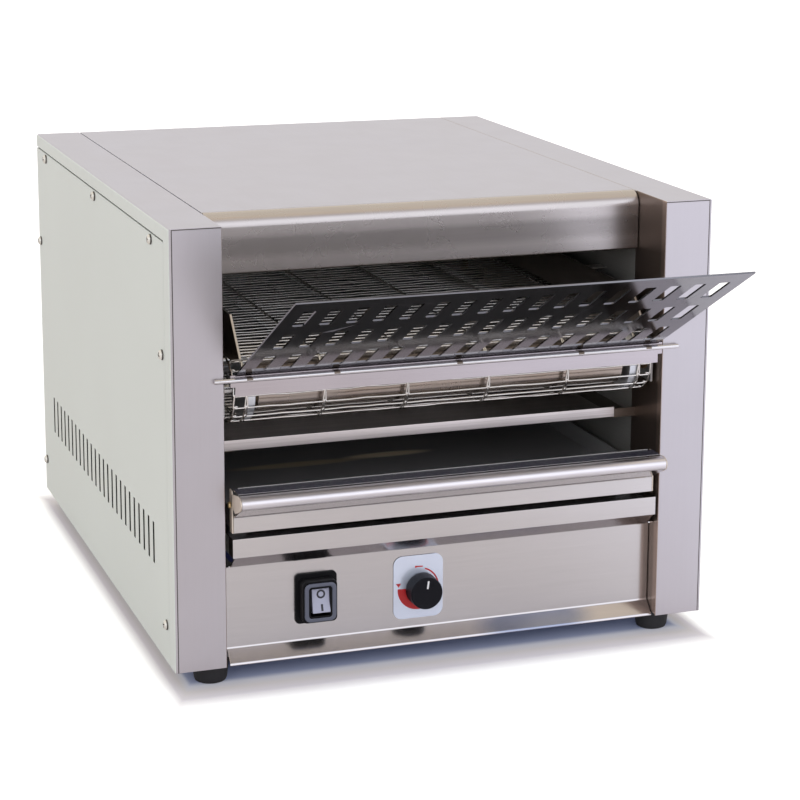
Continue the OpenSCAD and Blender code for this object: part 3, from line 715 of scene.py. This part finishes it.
def makeFeet():
    bm = bmesh.new()
    r0, r1, h, e, dish = (foot[k] for k in ("low", "high", "height", "round", "dish"))
    for sx in (-1, 1):
        for y in foot["ys"]:
            one = revolve([(pole, 0), (foot["hole"], 0), (foot["hole"] + foot["rim"], dish), (r0 - e, dish),
                           (r0 - e * 0.9, 0), (r0 - e * 0.3, e * 0.3), (r0, e), (r1, h - dish),
                           (r1 - foot["rim"], h), (pole, h)], 48)
            shift(one, (sx * foot["x"], y, -h))
            joinInto(bm, one)
    finishPiece("rubber_feet", bm, "footRubber", replaces=("feet",))


makeFeet()
print("toaster: casing made")


# Front ledge, control panel and tray

deck = {"bevel": 0.3, "endTo": 20}
# The deck's end faces take the painted light steel
paintFaces(easedSolid("exit_deck", "satinSteelAcross", bevel=deck["bevel"], extra=("endSteelPaintedLight",)),
           lambda n, x, y, z: 1 if abs(n.x) > 0.7 and y < deck["endTo"] else 0)


panel = {"half": 191.5, "shift": 1.9, "y": 17.5, "top": 79.5, "bottom": 8.7, "ledgeY": -3.4, "ledgeZ": 93.3,
         "shelfY": 8.4, "shelfZ": 82.0, "lipY": 6.6, "lipZ": -1.5, "hem": 1.5, "bend": 1.2, "flapHalf": 187.6,
         "sheet": 1.1, "lipFrom": 0.3}


def makeControlPanel():
    bm = bmesh.new()
    traceOutline(bm, (panel["ledgeY"], panel["ledgeZ"]), [
        ("to", panel["shelfY"], panel["shelfZ"]), ("to", panel["y"], panel["top"]),
        ("to", panel["y"], panel["bottom"]), ("to", panel["lipY"], panel["lipZ"]),
        ("to", panel["lipY"], panel["lipZ"] - panel["hem"])])
    sweepAcross(bm, panel["shift"] - panel["half"], panel["shift"] + panel["half"])
    for side in (-1, 1):
        cutAt(bm, (side * panel["flapHalf"], 0, 0), (1, 0, 0))
    middles = [(f, f.calc_center_median()) for f in bm.faces]
    corners = [f for f, c in middles if abs(c.x) > panel["flapHalf"] and c.z > panel["shelfZ"]]
    bmesh.ops.delete(bm, geom=corners, context="FACES")
    bmesh.ops.delete(bm, geom=[e for e in bm.edges if not e.link_faces], context="EDGES")
    folds = [e for e in bm.edges if len(e.link_faces) == 2 and e.calc_face_angle(0) > math.radians(20)]
    roundEdges(bm, folds, panel["bend"], 4)
    for f in bm.faces:
        if f.normal.y > 0:
            f.normal_flip()
    sheet = finishPiece("control_panel_sheet", bm, "satinSteelAcross", replaces=("control_panel",),
                        sheet=panel["sheet"], bevel=0.15, extra=("lipSteelPaintedReflection",))
    lipY, lipZ = panel["y"] - panel["lipFrom"], panel["bottom"] - panel["lipFrom"]
    # The lip's faces take the steel with the painted reflection
    paintFaces(sheet, lambda n, x, y, z: 1 if y < lipY and z < lipZ else 0)


makeControlPanel()

grip = {"half": 188.5, "front": -0.5, "low": 113.5, "crease": 127.0, "creaseRound": 1.2, "noseY": -22.7,
        "noseZ": 144.7, "nose": 5.5, "noseShort": 1.3, "thick": 1.1, "backY": -17.8,
        "flange": (-15.4, 0.6, 150.9), "flangeThick": 0.9, "flangeShort": 1.4,
        "endIn": 0.3, "endBack": 7.5, "endTop": 149.6, "gripFrom": -19, "tipFrom": -27.5,
        "tab": ((2.2, 136.6), (2.2, 146.2), (-18.0, 150.4), (-22.7, 150.2), (-27.0, 148.0), (-28.2, 144.7),
                (-26.4, 140.6), (-20.5, 137.2), (-9.6, 133.2))}


def makeTrayFront():
    bm = bmesh.new()
    y0, z0, noseY, noseZ, nose = (grip[k] for k in ("front", "crease", "noseY", "noseZ", "nose"))
    dy, dz = y0 - noseY, z0 - noseZ
    touch = math.atan2(dz, dy) - math.acos(nose / math.hypot(dy, dz))      # where the underside meets the nose
    sweep = math.degrees(math.pi / 2 - touch) - 360
    traceOutline(bm, (y0, grip["low"]), [
        ("to", y0, z0), ("to", noseY + nose * math.cos(touch), noseZ + nose * math.sin(touch)),
        ("turn", noseY, noseZ, sweep, 18), ("to", grip["backY"], noseZ + nose)])
    half = grip["half"] - grip["noseShort"]
    sweepAcross(bm, -half, half)
    roundEdges(bm, edgesAt(bm, y=y0, z=z0, off=0.01), grip["creaseRound"], 4)
    faceForward(bm, lambda f: -f.calc_center_median().z)
    sheet = finishPiece("tray_front_sheet", bm, "satinSteelAcross", "tray", ("tray_handle",),
                        sheet=grip["thick"], bevel=0.25, extra=("handleSteelPaintedHighlight",))
    start, tip = grip["gripFrom"], grip["tipFrom"]
    # The nose's upper and front faces take the lighter steel, a painted highlight
    paintFaces(sheet, lambda n, x, y, z: 1 if y < start and (n.z > -0.25 or y < tip) else 0)
    ends = bmesh.new()
    for sx in (-1, 1):
        low, high = sorted((sx * grip["half"], sx * (grip["half"] - grip["thick"])))
        addBox(ends, (low, y0 + grip["endIn"], grip["low"]), (high, grip["endBack"], grip["endTop"]))
        addPrism(ends, low, high, grip["tab"])
    finishPiece("tray_front_ends", ends, "endSteelPaintedLight", "tray", bevel=0.2)
    flange = bmesh.new()
    low, high, z = grip["flange"]
    half = grip["half"] - grip["flangeShort"]
    addBox(flange, (-half, low, z - grip["flangeThick"]), (half, high, z))
    top = finishPiece("tray_top_flange", flange, "satinSteelAcross", "tray", bevel=0.12, extra=("flangePaintedReflection",))
    # The flange's top takes the painted reflection
    paintFaces(top, lambda n, x, y, z: 1 if n.z > 0.7 else 0)


makeTrayFront()
easedSolid("tray_pan", "traySteelPaintedReflection", "tray", bevel=0.2)
easedSolid("tray_screws", "brassScrew", "tray", bevel=0.3)
print("toaster: panel and tray made")


# Belt and rollers

belt = {"radius": 26.7, "z": 227.3, "frontY": 30.5, "span": 441.0, "half": 186.0, "wires": 100, "wire": 0.9,
        "joints": (-174, -107.7, -35.9, 35.9, 107.7, 174), "sag": 2.5, "leg": 0.65, "waver": (0.5, 0.35),
        "waverAt": (0.3, 0.5, 0.7), "seed": 11}


def beltPoint(x, travel, lift):
    # travel runs along the loop from the top of the front roller back, over and forward underneath
    r, span, start, z = belt["radius"], belt["span"], belt["frontY"], belt["z"]
    bend = math.pi * r
    travel %= 2 * (span + bend)
    if travel < span:
        return (x, start + travel, z + r + lift)
    if travel < span + bend:
        a = (travel - span) / r
        return (x, start + span + (r + lift) * math.sin(a), z + (r + lift) * math.cos(a))
    if travel < 2 * span + bend:
        s = travel - span - bend
        return (x, start + span - s, z - r - lift - belt["sag"] * math.sin(math.pi * s / span) ** 2)
    a = (travel - 2 * span - bend) / r
    return (x, start - (r + lift) * math.sin(a), z - (r + lift) * math.cos(a))


def makeBelt():
    # Each wire hooks round the one behind it at every joint and loops back at both edges
    pitch, leg, half = 2 * (belt["span"] + math.pi * belt["radius"]) / belt["wires"], belt["leg"], belt["half"]
    chance = random.Random(belt["seed"])
    near, far, tip = 0.6, pitch + 1.2, pitch + 1.8      # travel along a hook: its foot, shoulder and end
    hook = [(-leg - 1.0, 0, 0), (-leg - 0.5, near, 0.1), (-leg, pitch - near, 0.75), (-leg + 0.2, far, 0.5),
            (-0.4, tip, 0), (0.4, tip, 0), (leg - 0.2, far, -0.5), (leg, pitch - near, -0.75),
            (leg + 0.5, near, -0.1), (leg + 1.0, 0, 0)]
    edgeLoop = [(4.5, far, -0.6), (3.0, pitch + 1.7, 0), (1.6, pitch + 1.0, 0.5), (0.9, 1.2, 0.2), (1.8, 0, 0)]
    curve = bpy.data.curves.new("beltWires", "CURVE")
    curve.dimensions = "3D"
    curve.bevel_depth = belt["wire"]
    curve.bevel_resolution = 1
    curve.use_fill_caps = True
    for i in range(belt["wires"]):
        route = [(inset - half, dt, dr) for inset, dt, dr in edgeLoop]
        for x, after in zip(belt["joints"], belt["joints"][1:] + (None,)):
            route += [(x + dx, dt, dr) for dx, dt, dr in hook]
            if after is not None:
                route += [(x + (after - x) * part, *(chance.uniform(-1, 1) * most for most in belt["waver"]))
                          for part in belt["waverAt"]]
        route += [(half - inset, dt, dr) for inset, dt, dr in reversed(edgeLoop)]
        spline = curve.splines.new("POLY")
        spline.points.add(len(route) - 1)
        for point, (x, dt, dr) in zip(spline.points, route):
            point.co = (*beltPoint(x, i * pitch + dt, dr), 1)
    obj = linkObject("beltWires", curve)
    bm = bmesh.new()
    bm.from_mesh(appliedMesh(obj))
    bpy.data.objects.remove(obj)
    fixNormals(bm)
    finishPiece("wire_belt_links", bm, "wireSteel",
                replaces=("belt_carrying_run", "belt_return_run", "belt_turns"))


makeBelt()
for node, material, body, bevel in (
        ("front_roller", "rollerSteel", "front_roller", 0.4),
        ("front_belt_wheels", "wheelSteel", "front_roller", 0.5),
        ("rear_belt_wheels", "wheelSteel", "rear_drive", 0.5),
        ("front_shaft", "brightSteel", "front_roller", 0.4),
        ("rear_shaft", "brightSteel", "rear_drive", 0.4),
        ("motor_shaft", "brightSteel", "motor_output", 0.4),
        ("shaft_sprocket", "oiledIron", "rear_drive", 0.2),
        ("motor_sprocket", "oiledIron", "motor_output", 0.2)):
    easedSolid(node, material, body, bevel)
guide = {"topFrom": 280}
# The guides are painted shade, with a painted highlight on their front and top faces
for side in ("left", "right"):
    paintFaces(easedSolid(side + "_guide", "shadeAndWeldSteel", extra=("guideEdgePaintedHighlight",)),
               lambda n, x, y, z: 1 if n.y < -0.2 or n.z > 0.5 and z > guide["topFrom"] else 0)
    easedSolid(side + "_rail", "plainZinc", bevel=0.2)
easedSolid("heat_shield", "shieldSteel", bevel=0.5)
print("toaster: belt and rollers made")


# Loading chute

strip = {"y": -4, "top": 250}
paintFaces(easedSolid("chute_plate", "chuteSteel", "chute", bevel=0.3, extra=("stripSteel",)),
           lambda n, x, y, z: 1 if n.y < -0.9 and y > strip["y"] and z < strip["top"] else 0)
rod = {"y": -2.3, "z": 242.2, "radius": 2.0, "from": -202.5, "to": 207.5,
       "welds": (-173.2, -99.6, 7.0, 116.7, 179.4), "weldHalf": 2.6, "weldProud": 0.12, "weldOff": 0.1}


def makeRod():
    bm = bmesh.new()
    addBar(bm, rod["from"], rod["to"], rod["y"], rod["z"], rod["radius"], 32)
    finishPiece("chute_bar", bm, "rodSteel", "chute", ("chute_rod",), bevel=0.4)
    bm = bmesh.new()
    half, off = rod["weldHalf"], rod["weldOff"]
    for x in rod["welds"]:
        addBar(bm, x - half, x + half, rod["y"] + off, rod["z"] + off, rod["radius"] + rod["weldProud"])
    finishPiece("chute_bar_welds", bm, "shadeAndWeldSteel", "chute", bevel=0.1)


makeRod()
print("toaster: chute made")


# Switch and knob

# Rounded outlines are (width, height, corner radius); marks are on the paddle's two faces, in its own frame
switch = {"x": -112.5, "z": 45.2, "pivotY": 10.0, "tilt": -12.0, "shift": 0.9, "drop": 0.4,
          "flange": (36.4, 43.6, 4), "flangeY": (15.5, 17.5), "bezel": (30, 36, 4), "mouth": (19, 26, 1.5),
          "bezelY": 4, "case": (21.5, 29.5, 1), "caseBack": 42, "ring": (27.6, 33.4, 5),
          "ringHole": (20.2, 27.2, 2.6), "ringY": 2, "lining": (17.4, 24.2, 1.2), "liningY": 2.5,
          "paddle": (7.7, 6.2, 10.2), "valley": 1.1, "barHalf": 7.5, "barRadius": 4, "ink": 0.06,
          "inkThick": 0.05, "circle": (3.8, 2.2), "circleAt": (0.1, 5.6), "line": (0.95, 2.9),
          "lineAt": (0.5, -5.9)}


def roundedBlock(outline, y0, y1, cx, cz, steps=6):
    width, height, radius = outline
    part = bmesh.new()
    addBox(part, (cx - width / 2, y0, cz - height / 2), (cx + width / 2, y1, cz + height / 2))
    roundEdges(part, [e for e in part.edges if abs(e.verts[0].co.y - e.verts[1].co.y) > 0.1], radius, steps)
    return part


def addFrame(bm, outer, inner, y0, y1, cx, cz):
    part, inside = (roundedBlock(outline, y0, y1, cx, cz) for outline in (outer, inner))
    for piece in (part, inside):
        caps = [f for f in piece.faces if abs(f.normal.y) > 0.9]
        bmesh.ops.delete(piece, geom=caps, context="FACES_ONLY")
    bmesh.ops.reverse_faces(inside, faces=inside.faces)
    joinInto(part, inside)
    for y in (y0, y1):
        bmesh.ops.bridge_loops(part, edges=[e for e in edgesAt(part, y=y, off=weld) if e.is_boundary])
    fixNormals(part)
    joinInto(bm, part)


def makeSwitch():
    cx, cz, valley = switch["x"], switch["z"], switch["valley"]
    front, back = switch["flangeY"]
    bm = bmesh.new()
    joinInto(bm, roundedBlock(switch["flange"], front, back, cx, cz))
    addFrame(bm, switch["bezel"], switch["mouth"], switch["bezelY"], front, cx, cz)
    joinInto(bm, roundedBlock(switch["case"], back, switch["caseBack"], cx, cz))
    finishPiece("switch_case", bm, "switchPlastic", replaces=("switch_housing",), bevel=0.5)
    bm = bmesh.new()
    addFrame(bm, switch["ring"], switch["ringHole"], switch["ringY"], switch["bezelY"], cx, cz)
    finishPiece("splash_ring", bm, "splashFrame", replaces=("switch_frame",), bevel=0.7)
    bm = bmesh.new()
    addFrame(bm, switch["ringHole"], switch["lining"], switch["liningY"], switch["bezelY"], cx, cz)
    finishPiece("splash_ring_lining", bm, "switchPlastic", bevel=0.2)

    def hang(bm):
        # From the paddle's own frame to where it sits
        turn(bm, turnBy(switch["tilt"], "X"))
        shift(bm, (cx + switch["shift"], switch["pivotY"], cz - switch["drop"]))

    half, deep, tall = switch["paddle"]
    bm = bmesh.new()
    addBox(bm, (-half, -deep, -tall), (half, 0, tall))
    cutAt(bm, (0, 0, 0), (0, 0, 1))
    for v in bm.verts:
        if v.co.y < 0.2 - deep and abs(v.co.z) < 0.1:
            v.co.y += valley
    addBar(bm, -switch["barHalf"], switch["barHalf"], 0, 0, switch["barRadius"])
    hang(bm)
    finishPiece("switch_paddle", bm, "rockerPlastic", "switch_rocker", ("rocker",), bevel=0.5)

    def faceY(z):
        return valley - deep - valley * abs(z) / tall       # the paddle's face at this height

    slant = math.degrees(math.atan2(valley, tall))
    ring = bmesh.new()
    for radius in switch["circle"]:
        bmesh.ops.create_circle(ring, segments=36, radius=radius)
    bmesh.ops.bridge_loops(ring, edges=ring.edges[:])
    turn(ring, turnBy(90, "X"))
    turn(ring, turnBy(slant, "X"))
    x, z = switch["circleAt"]
    shift(ring, (x, faceY(z) - switch["ink"], z))
    bmesh.ops.solidify(ring, geom=ring.faces[:], thickness=switch["inkThick"])
    bar = bmesh.new()
    lineHalf, lineTall = switch["line"]
    addBox(bar, (-lineHalf, -switch["ink"], -lineTall), (lineHalf, 0, lineTall))
    turn(bar, turnBy(-slant, "X"))
    x, z = switch["lineAt"]
    shift(bar, (x, faceY(z), z))
    joinInto(ring, bar)
    hang(ring)
    finishPiece("switch_marks", ring, "blackInk", "switch_rocker", smooth=False)


makeSwitch()

# The plate's rim is dark left of dark's first value, and above its second as far as its third
dial = {"x": -21.4, "z": 44.5, "outline": (44.7, 55.8, 8.0), "back": 17.5, "front": 16.7, "bevel": 0.06,
        "dark": (-38, 68, -21)}
dialMarks = {"x": -21.3, "z": 42.8, "radius": 18.7, "first": 19, "last": 273, "thin": 1.3, "thick": 12.0,
             "plainPart": 0.4, "curve": 1.5, "steps": 64, "under": 0.02, "over": 0.03,
             "dash": ((-24.4, 61.0), (-24.4, 63.2), (-22.2, 62.8), (-17.4, 62.6), (-17.4, 61.5),
                      (-22.0, 61.7)),
             "tick": ((-41.6, 48.6), (-36.9, 48.6), (-39.0, 45.0))}


def makeDial():
    bm = roundedBlock(dial["outline"], dial["front"], dial["back"], dial["x"], dial["z"], 10)
    obj = finishPiece("dial_face", bm, "dialFace", replaces=("dial_plate",), bevel=dial["bevel"],
                      extra=("blackInk",))
    left, top, middle = dial["dark"]
    paintFaces(obj, lambda n, x, y, z: 1 if abs(n.y) < 0.5 and (x < left or z > top and x < middle) else 0)


def makeDialMarks():
    # A wedge that widens clockwise, a dash at the top and a small tick at the left
    bm = bmesh.new()
    y, plainPart, outer = dial["front"] - dialMarks["over"], dialMarks["plainPart"], dialMarks["radius"]
    flat = []
    for i in range(dialMarks["steps"] + 1):
        part = i / dialMarks["steps"]
        a = math.radians(90 - (dialMarks["first"] + (dialMarks["last"] - dialMarks["first"]) * part))
        swell = max(0, (part - plainPart) / (1 - plainPart)) ** dialMarks["curve"]
        deep = dialMarks["thin"] + (dialMarks["thick"] - dialMarks["thin"]) * swell
        flat.append([bm.verts.new((dialMarks["x"] + r * math.cos(a), y, dialMarks["z"] + r * math.sin(a)))
                     for r in (outer - deep, outer)])
    faces = [bm.faces.new((a[0], a[1], b[1], b[0])) for a, b in zip(flat, flat[1:])]
    for outline in (dialMarks["dash"], dialMarks["tick"]):
        faces.append(bm.faces.new([bm.verts.new((x, y, z)) for x, z in outline]))
    out = bmesh.ops.extrude_face_region(bm, geom=faces)
    drawOut(bm, out, (0, dialMarks["over"] + dialMarks["under"], 0))
    fixNormals(bm)
    finishPiece("dial_marks", bm, "redPrint", smooth=False)


makeDial()
makeDialMarks()

knob = {"x": -18.5, "z": 42.3, "face": 2.0, "back": 16.2, "radius": 14.1, "skirt": 0.4, "bore": 6,
        "pointer": 8.0, "pointerHalf": 0.8, "pointerFrom": 4.0, "pointerTo": 11.2, "pointerY": (-0.06, 0.6)}


def makeKnob():
    r, bore, length = knob["radius"], knob["bore"], knob["back"] - knob["face"]
    wide, inside = r + knob["skirt"], length - 1.5
    bm = revolve([(pole, 0.5), (r - 3.2, 0.5), (r - 2.6, 0.1), (r - 0.9, 0), (r - 0.2, 0.35), (r, 1.1),
                  (wide, length - 3), (wide, length - 0.5), (r, length), (bore + 0.5, length), (bore, inside),
                  (pole, inside)], 72)
    turn(bm, turnBy(-90, "X"))
    shift(bm, (knob["x"], knob["face"], knob["z"]))
    finishPiece("knob_shell", bm, "knobPlastic", "knob", ("control_knob",))
    bm = bmesh.new()
    half, (y0, y1) = knob["pointerHalf"], knob["pointerY"]
    addBox(bm, (-half, y0, knob["pointerFrom"]), (half, y1, knob["pointerTo"]))
    turn(bm, turnBy(knob["pointer"], "Y"))
    shift(bm, (knob["x"], knob["face"] + 0.5, knob["z"]))
    finishPiece("knob_pointer", bm, "whiteInk", "knob", bevel=0.05)


makeKnob()
print("toaster: controls made")


# The other solids keep their shape and take a finish

plainNodes = {
    "ovenSteel": ("left_inner_wall", "right_inner_wall", "ceiling_reflector", "toast_slide"),
    "plainZinc": ("motor_bracket", "tray_runners", "belt_runners"),
    "shadeAndWeldSteel": ("shield_supports",),
    "brightSteel": ("cross_ties", "knob_spindle", "chute_pegs"),
    "oiledIron": ("upper_elements", "lower_elements", "drive_chain"),
    "ceramic": ("upper_element_holders", "lower_element_holders", "terminal_block"),
    "sinteredBronze": ("roller_bushes",),
    "motorPaint": ("gearmotor",),
    "switchPlastic": ("cable_gland", "regulator"),
}
for label, names in plainNodes.items():
    for name in names:
        cadNodes[name].data.materials.clear()
        cadNodes[name].data.materials.append(materials[label])


# Floor and light

# middle and half are the box that the floor's fades are measured from; seen and lift are the floor's colour
# and glow to the camera, from the front edge outwards, a painted shadow; sheen and near are painted
# reflections
studio = {"size": 20, "floor": (0.70, 0.655, 0.67), "middle": (0, 0.08, 0), "half": (0.237, 0.28, 5),
          "sheen": (0.35, 0.4, 0.52), "sheenX": (0.1, 0.6),
          "near": (0.205, 0.225, 0.245), "nearY": (-0.2, -0.27),
          "fadeY": (-0.06, 0.1), "fadeX": (-0.035, 0.008), "sidePart": 0.6,
          "seen": ((0.0, (0.3, 0.34, 0.48)), (0.25, (0.56, 0.59, 0.73)), (0.3, (0.62, 0.63, 0.7)),
                   (0.375, (0.66, 0.66, 0.68)), (0.46, (0.72, 0.72, 0.74)), (0.6, (0.93, 0.95, 0.95)),
                   (1.0, (0.94, 0.95, 0.95))),
          "lift": ((0.0, (0, 0, 0.01)), (0.25, (0.02, 0.03, 0.06)), (0.3, (0.17, 0.17, 0.18)),
                   (0.375, (0.155, 0.135, 0.125)), (0.46, (0.15, 0.13, 0.15)), (0.6, (0.5, 0.5, 0.5)),
                   (1.0, (0.5, 0.5, 0.52))),
          "worldTop": 1.6, "turnover": (0.1, -0.35),
          "front": ((0.0, (1.4, 1.44, 1.55)), (0.5, (1.4, 1.44, 1.55)), (0.62, (1.0, 1.02, 1.1)),
                    (0.74, (0.6, 0.58, 0.6)), (0.88, (0.8, 0.7, 0.57)), (1.0, (0.8, 0.7, 0.57))),
          "back": ((0.0, (0.94, 0.93, 0.97)), (0.24, (0.94, 0.93, 0.97)), (0.38, (0.88, 0.82, 0.71)),
                   (1.0, (0.81, 0.75, 0.65)))}


def straightSight(tree):
    # The light path, and 1 where the camera looks directly or through something clear
    rays = put(tree, "LightPath").outputs
    return rays, work(tree, "MAXIMUM", rays["Is Camera Ray"], rays["Is Transmission Ray"])


def makeFloor():
    bm = bmesh.new()
    bmesh.ops.create_grid(bm, x_segments=1, y_segments=1, size=studio["size"])
    obj = linkObject("floor", toMesh("floor", bm))
    mat = bpy.data.materials.new("paleFloor")
    tree = clearTree(mat)
    rays, seen = straightSight(tree)
    coord = put(tree, "TexCoord").outputs["Object"]
    away = workVector(tree, "SUBTRACT", coord, studio["middle"])
    folded = put(tree, "VectorMath", {0: away}, operation="ABSOLUTE").outputs[0]
    past = split(tree, workVector(tree, "SUBTRACT", folded, studio["half"]))
    # Painted shadow: the floor's colour and glow to the camera go from dark blue at the box to white further
    # out
    ahead = remap(tree, past["Y"], *studio["fadeY"])
    beside = remap(tree, past["X"], *studio["fadeX"], high=studio["sidePart"])
    part = work(tree, "MAXIMUM", ahead, beside)
    colour = mixColour(tree, seen, studio["floor"], colourRamp(tree, part, studio["seen"]))
    total = put(tree, "BsdfDiffuse", {"Color": colour})
    glows = [(colourRamp(tree, part, studio["lift"]), seen)]
    spot = split(tree, coord)
    # Painted reflections: glows that only glossy rays see, towards the right and near the front
    for axis, tint, fade in (("X", "sheen", "sheenX"), ("Y", "near", "nearY")):
        fall = remap(tree, spot[axis], *studio[fade], curve="SMOOTHSTEP")
        glows.append(((*studio[tint], 1), work(tree, "MULTIPLY", rays["Is Glossy Ray"], fall)))
    for tint, strength in glows:
        glow = put(tree, "Emission", {"Color": tint, "Strength": strength})
        total = put(tree, "AddShader", {0: total.outputs[0], 1: glow.outputs[0]})
    put(tree, "OutputMaterial", {"Surface": total.outputs[0]})
    obj.data.materials.append(mat)


def makeLight():
    # A wide soft window in front, a warm ceiling and a pale wall behind
    scene = bpy.context.scene
    scene.view_settings.view_transform = "Standard"
    scene.world = bpy.data.worlds.new("studio")
    tree = clearTree(scene.world)
    axes = split(tree, put(tree, "TexCoord").outputs["Generated"])
    front, back = (colourRamp(tree, axes["Z"], studio[k], studio["worldTop"]) for k in ("front", "back"))
    ahead = remap(tree, axes["Y"], *studio["turnover"], curve="SMOOTHSTEP")
    around = mixColour(tree, ahead, back, front)
    seen = straightSight(tree)[1]
    colour = mixColour(tree, seen, around, (1, 1, 1))
    level = remap(tree, seen, low=studio["worldTop"], high=1.0)
    sky = put(tree, "Background", {"Color": colour, "Strength": level})
    put(tree, "OutputWorld", {"Surface": sky.outputs[0]})


makeFloor()
makeLight()
print("toaster: scene ready")
